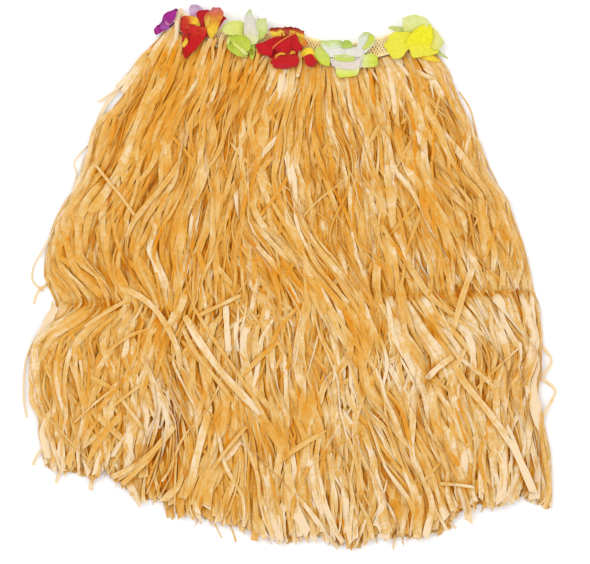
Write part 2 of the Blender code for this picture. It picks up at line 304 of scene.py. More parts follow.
def lock_slope(x, y, field):
    """Gather ribbons into locks: every field of waves leans other neighbours together."""
    chance = np.random.default_rng(900 + field)
    lean = np.zeros_like(x)
    for length in LOCK_WAVES:
        turn, phase = chance.uniform(-0.7, 0.7), chance.uniform(0, 2 * np.pi)
        lean += np.sin(2 * np.pi / length * (x * np.cos(turn) + y * np.sin(turn)) + phase)
    return LOCK_LEAN * lean * smooth_step(root_y(x) - y, 20 * MM, 130 * MM)


print(len(STROKES), "combing strokes")

# %% [markdown]
# ## Ribbons
#
# There are more than two thousand ribbons, far too many to model one by one, so they are
# written as arrays and joined: a path, a half width, a roll and a tone for every point. The
# section has four corners: two sharp edges, a ridge and its underside. It is closed, so a
# ribbon is a real thin leaf and not a painted card.

# %% Turn arrays into one mesh of ribbons
def new_piece(name, verts, faces):
    """An object from an array of points and an array of four-cornered faces."""
    mesh = bpy.data.meshes.new(name)
    mesh.from_pydata(verts.tolist(), [], faces.tolist())
    mesh.validate()
    piece = bpy.data.objects.new(name, mesh)
    bpy.context.scene.collection.objects.link(piece)
    return piece


LEAF_THICKNESS = 0.35 * MM
ribbon_points = {}


def ribbon_piece(name, path, half, roll, ridge, tone):
    """Join ribbons into one mesh. path is (ribbon, point, 3); the rest are (ribbon, point)."""
    count, points = half.shape
    run = np.gradient(path, axis=1)
    run /= np.linalg.norm(run, axis=2, keepdims=True)
    side = np.cross(run, (0.0, 0.0, 1.0))
    side /= np.linalg.norm(side, axis=2, keepdims=True)
    up = np.cross(side, run)
    turn_cos, turn_sin = np.cos(roll)[..., None], np.sin(roll)[..., None]
    across = side * turn_cos + up * turn_sin
    out = up * turn_cos - side * turn_sin
    wide, rise, thick = half[..., None], ridge[..., None], LEAF_THICKNESS / 2
    corners = np.stack((path - across * wide, path + out * (rise + thick),
                        path + across * wide, path + out * (rise - thick)), axis=2)
    slant = np.random.default_rng(count).uniform(-1.2, 1.2, count) * half[:, -1]
    corners[:, -1, 0] += run[:, -1] * slant[:, None]
    corners[:, -1, 2] -= run[:, -1] * slant[:, None]
    verts = corners.reshape(-1, 3)
    ids = np.arange(count * points * 4).reshape(count, points, 4)
    beside = np.roll(ids, -1, axis=2)
    quads = np.stack((ids[:, :-1], beside[:, :-1], beside[:, 1:], ids[:, 1:]), axis=-1)
    caps = np.concatenate((ids[:, 0, ::-1], ids[:, -1, :]))
    faces = np.concatenate((quads.reshape(-1, 4), caps))
    piece = new_piece(name, verts, faces)
    mesh = piece.data
    gaps = np.linalg.norm(np.diff(path, axis=1, prepend=path[:, :1]), axis=2)
    u = np.broadcast_to(np.array((0.0, 0.5, 1.0, 0.5)), (count, points, 4))
    uv = np.stack((u, np.broadcast_to(gaps.cumsum(axis=1)[..., None], u.shape)), axis=-1).reshape(-1, 2)
    layer = mesh.uv_layers.new(name="leaf")
    layer.data.foreach_set("uv", uv[faces.ravel()].ravel())
    chance = np.random.default_rng(len(name))
    number = np.broadcast_to(chance.random((count, 1)), tone.shape)
    paint = np.stack((tone, number, number, np.ones_like(tone)), axis=-1)
    paint = np.repeat(paint.reshape(-1, 4), 4, axis=0)
    mesh.attributes.new("leaf_tone", "FLOAT_COLOR", "POINT").data.foreach_set("color", paint.ravel())
    mesh.shade_flat()
    ribbon_points[name] = points
    print(f"{name}: {count} ribbons, {2 * len(faces)} triangles")
    return piece


# %% Smooth noise along the ribbons
def meander(chance, along, wave_length):
    """Smooth noise from -1 to 1 for each ribbon, along its own length."""
    count = len(along)
    total = np.zeros_like(along)
    for share, weight in ((1.0, 0.65), (0.53, 0.35)):
        length = wave_length * share * chance.uniform(0.8, 1.25, (count, 1))
        total += weight * np.sin(2 * np.pi * (along / length + chance.random((count, 1))))
    return total


def kinks(chance, along, spacing, size):
    """Offsets that run straight from one bend to the next, as raffia folds rather than curves."""
    bends = 16
    total = np.zeros_like(along)
    for ribbon, run in enumerate(along):
        places = np.cumsum(chance.uniform(0.5, 1.5, bends)) * spacing
        total[ribbon] = np.interp(run, places - places[0], chance.normal(0, size, bends))
    return total


# %% [markdown]
# The pile is about 15 mm high. Each row has its own floor and depth in it; a ribbon has a rank
# in its row, which says how deep it lies. Near the waistband all rows are pressed together, at
# the two sides the pile thins out, and along the old fold it dips.

# %% Height of the pile
GROOVE_DEPTH = 4.2 * MM


def pile_share(x, y):
    """Share of its full height that the pile has at a point."""
    below = root_y(x) - y
    share = share_at(x, y)
    side = np.clip(np.minimum(share, 1 - share), 0, 1)
    edge = 0.32 + 0.68 * smooth_step(side, 0.0, 0.11)
    end = 1 - 0.25 * smooth_step(hem_y(x) - y, -45 * MM, 0)
    return smooth_step(below, -5 * MM, 85 * MM) * edge * end


crease = columns("x y depth", (
    (-250, -30, 0.9), (-190, -27, 0.8), (-140, -38, 0.7), (-60, -42, 0.4), (60, -30, 0.25), (98, -20, 0.55),
    (150, -19, 0.85), (250, -17, 1),
))


def crease_at(x):
    """Where the old fold runs, and how deep it is there, from 0 to 1."""
    return np.interp(x, crease["x"], crease["y"]), np.interp(x, crease["x"], crease["depth"]) / MM


def groove(x, y):
    """Depth of the crease that the old fold left, deepest at both sides."""
    line, depth = crease_at(x)
    return GROOVE_DEPTH * depth * np.exp(-((y - line) / (6 * MM)) ** 2)


# %% [markdown]
# ### Raffia finish
#
# Raffia is straw gold, and its tone differs at random from ribbon to ribbon. The same tone also
# carries painted light: deep orange is painted shade where a ribbon lies low in the pile, pale
# cream is painted highlight. Long grain runs along each ribbon and faint creases run across it.
# Tone comes from an attribute painted on each ribbon, the grain from its own length and width.

# %% Raffia finish
# From deep orange, used mostly for painted shade low in the pile, to pale cream, used for painted
# highlights.
RAFFIA_STOPS = (
    (0.00, (0.62, 0.178, 0.003)),
    (0.24, (0.60, 0.230, 0.015)),
    (0.50, (0.61, 0.302, 0.052)),
    (0.74, (0.63, 0.387, 0.128)),
    (0.90, (0.66, 0.450, 0.210)),
    (1.00, (0.71, 0.545, 0.350)),
)


def raffia_finish():
    """Straw with long grain, cross creases and a satin sheen that is painted highlight in broad tone
    patches.
    """
    material, shader, uv = new_finish("raffia", gloss=0.02)
    u = uv.node("ShaderNodeSeparateXYZ", {0: uv})
    v = u.output("Y")
    paint = uv.node("ShaderNodeAttribute", out="Color", attribute_name="leaf_tone")
    tone = uv.node("ShaderNodeSeparateColor", {0: paint})
    number = tone.output("Green")

    def pattern(across, along, detail=2.0, roughness=0.5):
        place = uv.node("ShaderNodeCombineXYZ", {"X": u * across, "Y": v * along, "Z": number * 97.0})
        return noise(place, 1.0, detail, roughness)

    grain = pattern(6.0, 20.0, 3.0, 0.65)
    creases = pattern(0.6, 240.0, 2.0, 0.7)
    # Broad patches of random tone along each ribbon; where they are pale they are the painted highlight of
    # a satin sheen.
    patches = pattern(0.9, 42.0, 2.0)
    shade = tone + (patches - 0.5) * 0.90 + (grain - 0.5) * 0.55 + (creases - 0.5) * 0.58
    ramp = uv.node("ShaderNodeValToRGB", {"Fac": shade.clamped()}, stops=RAFFIA_STOPS)
    feed(ramp, shader, "Base Color")
    feed(0.56 - patches * 0.22, shader, "Roughness")
    emboss(grain * 0.6 + creases * 0.4, shader, 0.5, 0.4 * MM)
    return material


raffia = raffia_finish()


def raffia_piece(name, node, x, y, z, half, roll, ridge, tone):
    """Ribbons as one finished piece of a row."""
    piece = ribbon_piece(name, np.stack((x, y, z), axis=-1), half, roll, ridge, tone)
    piece.data.materials.append(raffia)
    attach(piece, "root")
    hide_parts(node + "_row")
    return piece


# %% [markdown]
# ### The four rows
#
# Every row hangs from the band to the hem. A ribbon starts at its own place along the band,
# then each step down adds the slope of its lane, the combing strokes and its own meander,
# while a weak pull brings it back to its lane. The table gives, in millimetres, each row's
# height at the band, its lowest height in the full pile, the span of heights above that and
# how far it ends short of the hem.

# %% Walk the ribbons of a row down the skirt
Row = namedtuple("Row", "name ribbons points root low span tone short seed")
ROWS = (
    Row("raffia_back_outer", 120, 44, 0.8, 0.6, 1.1, 0.58, 0, 1),
    Row("raffia_back_inner", 110, 44, 1.8, 2.0, 1.6, 0.56, 0, 2),
    Row("raffia_front_lower", 230, 60, 2.8, 6.2, 2.4, 0.54, 8, 3),
    Row("raffia_front_upper", 270, 70, 3.8, 8.8, 3.0, 0.56, 0, 4),
)
RETURN_LENGTH = 43.75 * MM
WAIST_LEFT, WAIST_RIGHT = -124 * MM, 147 * MM
WIDTHS = ((0.16, 1.2, 2.6), (0.68, 4.0, 7.0), (1.0, 7.0, 10.5))  # share up to here, narrowest, widest


def half_widths(chance, count, y, x, along):
    """Half widths: half of the ribbons are 4 to 7 mm wide, some are fine, a third are broader."""
    sort = chance.random(count)
    wide = np.select([sort < share for share, _, _ in WIDTHS],
                     [chance.uniform(low, high, count) for _, low, high in WIDTHS])
    swell = 0.94 + 0.28 * meander(chance, along, 110 * MM)
    gathered = 0.60 + 0.40 * smooth_step(root_y(x) - y, 0, 120 * MM)
    return 0.5 * MM * wide[:, None] * swell * gathered


def rolls(chance, count, along):
    """Roll of each ribbon about its own path: most lie nearly flat, some twist over."""
    twist = np.where(chance.random(count) < 0.14, chance.uniform(0.4, 1.1, count), 0.0)
    sign = chance.choice((-1.0, 1.0), count)
    spin = 2 * np.pi * (along / (190 * MM)) * (twist * sign)[:, None]
    sway = chance.uniform(0.1, 0.65, count)[:, None] * meander(chance, along, 48 * MM)
    return sway + spin


def ridges(chance, count, half):
    """Height of each ribbon's ridge or valley: many are folded along their middle."""
    fold = np.where(chance.random(count) < 0.55, chance.uniform(0.12, 0.38, count), 0.05)
    return (fold * chance.choice((-1.0, 1.0), count))[:, None] * half


def row_piece(row):
    """All the ribbons of one row, from band to hem."""
    chance = np.random.default_rng(row.seed)
    count = row.ribbons
    home = (np.arange(count) + chance.uniform(0.1, 0.9, count)) / count
    start = WAIST_LEFT + (WAIST_RIGHT - WAIST_LEFT) * home
    top = root_y(start) + 3 * MM
    left, right = edges_at(-230 * MM)
    end = hem_y(left + (right - left) * home) + (chance.exponential(7, count) - 5) * MM
    end += row.short * MM
    steps = np.linspace(0, 1, row.points)
    y = top[:, None] + (end - top)[:, None] * steps
    along = top[:, None] - y
    lean = 0.17 * meander(chance, along, 130 * MM)
    calm = np.clip(7 * np.minimum(home, 1 - home), 0.12, 1)[:, None]
    lean *= calm * smooth_step(along, 0, 40 * MM)
    x = np.zeros_like(y)
    x[:, 0] = start
    first_share = share_at(start, top)
    for step in range(1, row.points):
        here, level = x[:, step - 1], y[:, step - 1]
        drop = level - y[:, step]
        lane_home = first_share + (home - first_share) * smooth_step(along[:, step], 0, 120 * MM)
        edge_left, edge_right = edges_at(y[:, step])
        target = edge_left + (edge_right - edge_left) * lane_home
        slope = lane_slope(here, level) + stroke_slope(here, level) + lean[:, step]
        slope += lock_slope(here, level, row.seed) * calm[:, 0]
        free = here + slope * drop
        x[:, step] = free + (target - free) * np.minimum(drop / RETURN_LENGTH, 1)
    x += kinks(chance, along, 60 * MM, 2.6 * MM) * calm * smooth_step(along, 0, 50 * MM)
    inset = (chance.uniform(-1, 6, (count, 1)) + 1.5 * meander(chance, along, 60 * MM)) * MM
    x = keep_inside(x, y, inset)
    rank = chance.random(count)[:, None] + 0.35 * meander(chance, along, 75 * MM)
    height = (row.low + row.span * rank) * MM
    root = row.root * MM
    z = root + (height - root) * pile_share(x, y) - groove(x, y) * row.low / 9.0
    half = half_widths(chance, count, y, x, along)
    tip = smooth_step(1 - steps, 0, 0.03)[None, :]
    half *= 0.75 + 0.25 * tip
    roll = rolls(chance, count, along)
    roll *= smooth_step(along, 0, 50 * MM)
    ridge = ridges(chance, count, half)
    z = np.maximum(z, np.abs(np.sin(roll)) * half + np.abs(ridge) + 0.4 * MM)
    tone = row.tone + chance.normal(0, 0.11, (count, 1)) + 0.08 * meander(chance, along, 150 * MM)
    # Painted shade: ribbons that lie low in their row are darker, and so are all ribbons near the band,
    # between the gathered bunches.
    tone = tone + 0.16 * (rank - 0.5)
    tone -= 0.08 * smooth_step(-along, -60 * MM, -5 * MM)
    return raffia_piece(row.name, row.name, x, y, z, half, roll, ridge, tone)


rows = [row_piece(row) for row in ROWS]

# %% [markdown]
# ### The ribbons on top
#
# What the eye follows is the uppermost layer, where single ribbons come up out of the pile,
# run with the combing for a hand's width and go under again. They are seeded all over the
# skirt and walked both ways from their seed.

# %% Ribbons on the surface of the pile
SURFACE_SPAN = 3.6
PILE_BASE = 5.2 * MM


def on_pile(height, x, y):
    """Height of a ribbon here, if it lies at a certain height where the pile is full."""
    return PILE_BASE + (height - PILE_BASE) * pile_share(x, y)


def surface_seeds(chance, cell):
    """Jittered places all over the skirt."""
    xs = np.arange(-250 * MM, 262 * MM, cell)
    ys = np.arange(-266 * MM, 232 * MM, cell)
    grid_x, grid_y = (g.ravel() for g in np.meshgrid(xs, ys))
    x = grid_x + chance.uniform(-0.5, 0.5, grid_x.size) * cell
    y = grid_y + chance.uniform(-0.5, 0.5, grid_x.size) * cell
    share = share_at(x, y)
    keep = (share > 0.01) & (share < 0.99) & (y < root_y(x) - 12 * MM) & (y > hem_y(x) + 4 * MM)
    return x[keep], y[keep]


def walk(x, y_from, y_to, lean, points, field):
    """Follow lanes, strokes, locks and a lean of their own from one height to another."""
    steps = np.linspace(0, 1, points)
    y = y_from[:, None] + (y_to - y_from)[:, None] * steps
    path = np.zeros_like(y)
    path[:, 0] = x
    for step in range(1, points):
        here, level = path[:, step - 1], y[:, step - 1]
        slope = lane_slope(here, level) + stroke_slope(here, level) + lean
        slope += np.where(field, lock_slope(here, level, 11), lock_slope(here, level, 12))
        path[:, step] = here + slope * (level - y[:, step])
    return path, y


def surface_piece(name, seed, cell, points, low, tone_base, breadth):
    """Ribbons that come up, run on top and go under."""
    chance = np.random.default_rng(seed)
    x0, y0 = surface_seeds(chance, cell)
    count = len(x0)
    reach = chance.uniform(45, 150, count) * MM
    top = np.minimum(y0 + reach * chance.uniform(0.7, 1.3, count), root_y(x0) - 4 * MM)
    bottom = y0 - reach
    fold, depth = crease_at(x0)
    tucked = chance.random(count) < depth
    above = y0 > fold
    bottom = np.where(tucked & above, np.maximum(bottom, fold - 2 * MM), bottom)
    top = np.where(tucked & ~above, np.minimum(top, fold + 3 * MM), top)
    wild = chance.random(count) < 0.07
    lean = np.where(wild, chance.normal(0, 0.40, count), chance.normal(0, 0.11, count))
    field = chance.random(count) < 0.5
    half_points = points // 2
    trial, _ = walk(x0, y0, bottom, lean, points - half_points, field)
    hem_here = hem_y(trial[:, -1]) + (chance.exponential(11, count) - 6) * MM
    at_hem = bottom < hem_here
    bottom = np.maximum(bottom, np.minimum(hem_here, y0 - 8 * MM))
    up_x, up_y = walk(x0, y0, top, lean, half_points + 1, field)
    down_x, down_y = walk(x0, y0, bottom, lean, points - half_points, field)
    x = np.concatenate((up_x[:, ::-1], down_x[:, 1:]), axis=1)
    y = np.concatenate((up_y[:, ::-1], down_y[:, 1:]), axis=1)
    along = y[:, :1] - y
    x += 1.5 * MM * meander(chance, along, 100 * MM) + kinks(chance, along, 40 * MM, 3.6 * MM)
    inset = (chance.uniform(0, 8, (count, 1)) + 2 * meander(chance, along, 50 * MM)) * MM
    x = keep_inside(x, y, inset)
    length = along[:, -1:]
    rank = chance.random(count)[:, None] + 0.25 * meander(chance, along, 60 * MM)
    from_top = along / np.where(tucked & ~above, 9 * MM, 30 * MM)[:, None]
    from_end = (length - along) / np.where(tucked & above, 9 * MM, 30 * MM)[:, None]
    from_end = np.where(at_hem[:, None], 1.0, from_end)
    dive = (1 - np.clip(np.minimum(from_top, from_end), 0, 1)) ** 1.6
    height = (low + SURFACE_SPAN * rank - 6.0 * dive) * MM
    z = on_pile(height, x, y) - groove(x, y)
    half = half_widths(chance, count, y, x, along)
    half *= breadth
    half *= np.clip(np.minimum(from_top, from_end) * 1.5, 0.08, 1)
    roll = rolls(chance, count, along)
    z = np.maximum(z, np.abs(np.sin(roll)) * half + 0.6 * MM)
    ridge = ridges(chance, count, half)
    tone = tone_base + chance.normal(0, 0.13, (count, 1)) + 0.12 * meander(chance, along, 120 * MM)
    # Painted light: paler below the old fold, where the ribbons lift towards the light; darker towards the
    # left side, and wider ribbons paler.
    tone = tone + 0.10 * smooth_step(-y, 0, 60 * MM) - 0.08 * smooth_step(-x, 60 * MM, 180 * MM)
    tone = tone + 30.0 * (half.max(axis=1, keepdims=True) - 2.6 * MM)
    # Painted shade: ribbons low in the pile, and the ends that dive under, are darker.
    tone = np.clip(tone + 0.16 * (rank - 0.5), 0.36, 0.97) - 0.20 * dive
    return raffia_piece(name, "raffia_front_upper", x, y, z, half, roll, ridge, tone)


surface = surface_piece("raffia_front_surface", seed=21, cell=18.5 * MM, points=30, low=11.0,
                        tone_base=0.60, breadth=1.0)
fine = surface_piece("raffia_front_fine", seed=22, cell=26 * MM, points=26, low=11.6,
                     tone_base=0.52, breadth=0.42)

# %% [markdown]
# ### Strays, heads and frays
#
# A few ribbons are seen one by one: those that stray outside the outline, the broad pale ones
# that cross the others, and the tails at the hem. The table lists them: width, height and
# tone, then the points that they pass, in millimetres to the right and down from the upper
# left corner of the sheet that the skirt lies on. At the band every bunch has a rounded head,
# where it loops over the gathering thread, and at the hem the cut ends split into threads.

# %% Strays, one by one
CORNER_X, CORNER_Y = 288 * MM, 276.5 * MM
STRAYS = (  # width, height, tone, points
    (4, 5, 0.85, (134, 76), (119, 89), (107, 103), (101, 115), (96, 128), (92, 142)),
    (2.4, 6, 0.8, (129, 79.5), (118, 88.5), (107, 96.5), (98, 102.5)),
    (1.8, 5, 0.8, (88, 146), (79, 155), (74, 165), (77, 174), (74, 188), (69, 202)),
    (2, 5, 0.9, (90, 150), (84, 160), (81, 172), (78, 186), (72, 200)),
    (2.4, 5, 0.9, (68, 198), (59, 220), (46, 245), (36, 262), (32, 275), (35, 284), (44, 291)),
    (1.6, 4, 0.6, (459, 92), (466, 102), (471, 112), (474, 124), (477, 138), (482, 152), (488, 165)),
    (1.6, 4, 0.62, (484, 158), (490, 170), (495, 180), (499, 190), (503, 200)),
    (3, 5, 0.6, (48, 284), (40, 290), (36, 297), (34, 304)),
    (2.2, 4, 0.7, (40, 338), (31, 349), (26, 362), (24, 380), (24, 400), (27, 418)),
    (3, 5, 0.6, (50, 436), (44, 446), (37, 456), (33, 465)),
    (3.4, 5, 0.65, (80, 462), (68, 466), (60, 473), (56, 483)),
    (4.5, 5, 0.7, (104, 464), (98, 472), (92, 480), (91, 490)),
    (3.2, 6, 0.85, (534, 338), (546, 351), (551, 361), (546, 371), (538, 380)),
    (3.4, 6, 0.85, (536, 376), (548, 383), (555, 391), (550, 403), (543, 416), (540, 428)),
    (5, 8, 0.45, (533, 380.5), (536, 410.5), (541, 440.5), (547, 470.5), (549, 491.5), (544, 508.5)),
    (2.2, 7, 0.55, (548, 488.5), (545, 498.5), (539, 504.5)),
    (6, 9, 0.78, (524, 416.5), (529, 436.5), (536, 462.5), (543, 486.5)),
    (7, 10, 0.9, (508, 420.5), (510, 450.5), (512, 476.5), (514, 495.5)),
    (6, 10, 0.86, (499, 446.5), (502, 466.5), (507, 488.5), (510, 498.5)),
    (6.5, 9, 0.6, (492, 426.5), (494, 456.5), (494, 494.5)),
    (3, 17, 0.75, (96, 165), (111, 184), (124, 200), (138, 220)),
    (5.5, 17, 0.68, (183, 156), (174, 172), (160, 190), (147, 205), (134, 222), (125, 240)),
    (6, 17, 0.78, (117, 288), (132, 292), (148, 302), (160, 315), (170, 332), (178, 350), (181, 370)),
    (4, 16, 0.75, (84, 328), (98, 318), (110, 310), (130, 299)),
    (3.5, 17, 0.66, (103, 356), (120, 342), (134, 334), (150, 329)),
    (2.2, 17, 0.7, (74, 423), (92, 406), (113, 389)),
    (7.5, 17.6, 0.94, (185, 316), (200, 342), (222, 372), (242, 394), (261, 413)),
    (4, 16.6, 0.62, (195, 308.5), (212, 336.5), (233, 366.5), (256, 400.5), (270, 426.5)),
    (4.5, 16.6, 0.72, (182, 324.5), (191, 344.5), (208, 368.5), (226, 390.5), (240, 410.5)),
    (3.6, 17, 0.66, (211, 471), (228, 448), (249, 423)),
    (8, 17, 0.84, (209, 412), (201, 440), (195, 465), (190, 489)),
    (6.5, 16.6, 0.68, (472, 268), (468, 279), (462, 297), (453, 329)),
    (6, 18, 0.95, (426, 379), (438, 367), (453, 356)),
    (7, 17.5, 0.8, (451, 358), (464, 382), (482, 404), (500, 428), (514, 450)),
    (8, 16.5, 0.84, (505, 425), (515, 450), (526, 475), (533, 492)),
    (3.4, 17, 0.78, (438, 483), (455, 484), (474, 487)),
    (4, 17, 0.68, (198, 316), (220, 305), (242, 295)),
    # The next two nearly white ribbons are painted highlights.
    (6, 17.5, 1, (226, 304.5), (227, 326), (229, 352.5)),
    (4, 17, 0.92, (236, 322), (236, 338), (238, 352)),
    (1.6, 5, 0.5, (214, 522), (218, 530), (222, 538)),
    (2, 5, 0.55, (229, 522), (233, 532), (236, 542)),
    (2.2, 6, 0.6, (348, 532), (350, 541), (351, 549)),
    (2.2, 6, 0.6, (395, 532), (394, 541), (393, 549)),
    (2.6, 6, 0.65, (438, 508), (446, 519), (456, 528)),
    (5, 16, 0.85, (110, 348), (104, 360), (97, 374)),
    (6, 16, 0.88, (126, 328), (127, 344), (123, 362)),
    (4, 17, 0.7, (118, 392), (130, 410), (146, 432)),
    (3.2, 17, 0.62, (112, 407), (126, 396), (142, 384)),
    (6, 16, 0.66, (176, 424), (158, 446), (138, 464), (118, 478)),
    (5, 16, 0.6, (160, 444), (146, 462), (130, 477), (122, 484)),
    (5.5, 16, 0.7, (150, 452), (134, 466), (112, 477)),
    (6, 8.5, 0.66, (209, 41), (203, 54), (196, 72), (190, 92)),
    (5, 8.5, 0.45, (215, 37), (210, 50), (206, 66), (201, 88)),
    (7, 9.5, 0.86, (224, 40), (220, 54), (214, 72), (211, 94)),
    (5.5, 8.5, 0.5, (230, 46), (227, 60), (223, 78), (221, 96)),
    (4.5, 8.5, 0.6, (203, 38), (199, 50), (192, 62), (184, 78)),
    (5, 10.5, 1, (182, 9), (177.5, 18), (177, 28), (176, 38), (172, 49), (167, 62)),
    (6, 9.5, 0.82, (176, 26), (168, 36), (160, 48), (152, 64)),
    (5.5, 10, 0.75, (178, 24), (173, 35), (167, 48), (160, 64)),
    (5, 9, 0.9, (172, 30), (164, 38), (156, 48), (149, 60)),
    (5, 10.5, 0.7, (179, 34), (177, 44), (173, 56), (168, 70)),
    (4.5, 11, 0.88, (182, 36), (181, 46), (178, 58), (174, 72)),
    (4, 11, 0.85, (224, 33), (221, 42), (220, 52), (217, 66)),
    (3.5, 11, 0.72, (227.5, 38), (225, 48), (222, 58), (219, 70)),
    (5, 11, 0.97, (212, 37), (208, 46), (204, 56), (201, 68)),
    (4, 11, 0.8, (206, 41), (203, 50), (199, 60), (195, 72)),
    (3.5, 11, 0.66, (217, 38), (213, 46), (213, 54), (212, 66)),
    (4, 11, 0.6, (258, 46), (258, 54), (256, 64), (253, 76)),
    (4, 11, 0.7, (302, 46), (300, 56), (300, 66), (297, 78)),
    (7, 9, 0.98, (424, 65.5), (430, 70.5), (437, 73.5)),
    (6.5, 9.5, 0.95, (427, 76.5), (434, 82.5), (439, 90.5), (443, 99.5)),
    (6, 8.5, 0.9, (434, 66.5), (441, 74.5), (445, 84.5), (451, 96.5), (456, 110.5)),
    (4.5, 10, 0.8, (416, 70.5), (426, 76.5), (438, 79.5)),
    (6, 8.5, 0.8, (148, 54.5), (141, 65.5), (135, 74.5), (128, 84.5), (122, 92.5)),
    (6, 8, 0.72, (152, 58.5), (144, 70.5), (138, 79.5), (131, 89.5), (126, 97.5)),
    (5, 8.2, 0.86, (145, 58.5), (137, 67.5), (131, 74.5), (124, 81.5), (117, 87.5)),
    (7, 9.5, 0.72, (398, 62.5), (402, 76.5), (399, 92.5), (401, 112.5), (400, 130.5)),
    (4.5, 9.5, 0.9, (384, 62.5), (392, 74.5), (398, 88.5), (400, 100.5)),
    (4, 10, 0.7, (413, 62.5), (411, 78.5), (420, 92.5), (434, 104.5), (446, 112.5)),
    (4.5, 9.5, 0.8, (376, 64.5), (384, 78.5), (392, 92.5), (396, 108.5)),
    (5.5, 9.5, 0.88, (382, 94.5), (384, 102.5), (386, 114.5)),
    (6.5, 9.5, 0.7, (292, 68), (291, 84), (287, 104), (284, 124)),
    (7.5, 9.5, 0.8, (283, 70), (281, 88), (276, 108), (272, 126)),
)
STRAY_POINTS = 18


def on_curve(rows, share):
    """A row of values at a share of a table's length, on a smooth curve through its rows."""
    rows = [rows[0], *rows, rows[-1]]
    place = share * (len(rows) - 3)
    first = min(int(place), len(rows) - 4)
    t = place - first
    a, b, c, d = (np.array(row, float) for row in rows[first:first + 4])
    return 0.5 * (2 * b + (c - a) * t + (2 * a - 5 * b + 4 * c - d) * t * t
                  + (3 * b - 3 * c + d - a) * t ** 3)


def dressed(name, x, y, z, half, tone, chance, twist=0.4):
    """Turn the arrays of some front ribbons into a finished piece."""
    along = np.cumsum(np.hypot(np.diff(x, axis=1, prepend=x[:, :1]),
                               np.diff(y, axis=1, prepend=y[:, :1])), axis=1)
    tone = np.broadcast_to(tone, x.shape)
    roll = chance.uniform(0, twist, (len(x), 1)) * meander(chance, along, 80 * MM)
    z = np.maximum(z, np.abs(np.sin(roll)) * half + 0.8 * MM)
    ridge = ridges(chance, len(x), half)
    return raffia_piece(name, "raffia_front_upper", x, y, z, half, roll, ridge, tone)


def stray_piece():
    """All the listed ribbons."""
    chance = np.random.default_rng(31)
    steps = np.linspace(0, 1, STRAY_POINTS)
    paths = np.array([[on_curve(points, share) for share in steps] for _, _, _, *points in STRAYS])
    x, y = paths[..., 0] * MM - CORNER_X, CORNER_Y - paths[..., 1] * MM
    share = steps[None, :]
    width, height, tone = np.array([stray[:3] for stray in STRAYS], float).T[..., None]
    width, height = width * MM, height * MM
    arch = np.sin(np.pi * share) ** 0.5
    z = height - (1 - arch) * np.minimum(height * 0.35, 4 * MM)
    half = 0.5 * width * (0.75 + 0.25 * arch) * (1 + 0.15 * meander(chance, share * 0.1, 60 * MM))
    return dressed("raffia_strays", x, y, z, half, tone, chance)


# %% Looped heads at the band
HEADS = 128
HEAD_POINTS = 14


def head_piece():
    """Rounded heads of the bunches, each running down into the fringe."""
    chance = np.random.default_rng(32)
    start = np.linspace(-112 * MM, 143 * MM, HEADS) + chance.uniform(-1, 1, HEADS) * MM
    top = root_y(start) + chance.uniform(0.5, 5, HEADS) * MM
    short = chance.random(HEADS) < 0.45
    bottom = top - np.where(short, chance.uniform(22, 50, HEADS), chance.uniform(40, 95, HEADS)) * MM
    lean = np.where(short, chance.normal(0, 0.36, HEADS), chance.normal(0, 0.10, HEADS))
    x, y = walk(start, top, bottom, lean, HEAD_POINTS, chance.random(HEADS) < 0.5)
    along = top[:, None] - y
    x = keep_inside(x, y, 1.5 * MM)
    rise = smooth_step(along, 0, 9 * MM)
    end = smooth_step(along[:, -1:] - along, 0, 25 * MM)
    z = (4.6 + 2.2 * rise + chance.uniform(0, 1.8, (HEADS, 1))) * MM + 5 * MM * pile_share(x, y)
    z -= 2.5 * MM * (1 - end)
    half = chance.uniform(1.2, 3.2, (HEADS, 1)) * MM * (0.60 + 0.40 * rise) * (0.3 + 0.7 * end)
    tone = np.clip(chance.normal(0.64, 0.17, (HEADS, 1)) + 0.10 * short[:, None], 0.3, 0.98)
    return dressed("raffia_heads", x, y, z, half, tone, chance)


# %% Split ends at the hem
FRAYS = 330


def fray_piece():
    """Thin split ends that reach a little past the hem."""
    chance = np.random.default_rng(33)
    share = chance.random(FRAYS)
    left, right = edges_at(-210 * MM)
    x0 = left + (right - left) * share
    y0 = hem_y(x0) + chance.uniform(2, 30, FRAYS) * MM
    length = chance.uniform(7, 16, FRAYS) * MM
    lean = chance.normal(0, 0.28, FRAYS)
    steps = np.linspace(0, 1, 5)[None, :]
    y = y0[:, None] - length[:, None] * steps
    x = x0[:, None] + lean[:, None] * length[:, None] * steps ** 1.5
    x = np.clip(x, left + 1 * MM, right - 1 * MM)
    z = chance.uniform(2.0, 8.5, (FRAYS, 1)) * MM * (1 - 0.3 * steps)
    half = chance.uniform(0.4, 1.1, (FRAYS, 1)) * MM * (1 - 0.6 * steps)
    tone = chance.normal(0.55, 0.2, (FRAYS, 1))
    return dressed("raffia_frays", x, y, z, half, tone, chance)


# %% Tangled places
TANGLES = (  # x, y, across, along, ribbons
    (-160, -95, 38, 55, 70), (-60, -40, 60, 35, 50), (150, -95, 75, 16, 22), (-190, -160, 40, 30, 30),
    (20, 20, 70, 60, 20), (-60, 110, 90, 70, 14), (120, 120, 60, 70, 14), (0, -200, 120, 45, 22),
    (170, -190, 60, 30, 6), (130, 190, 26, 18, 20),
)


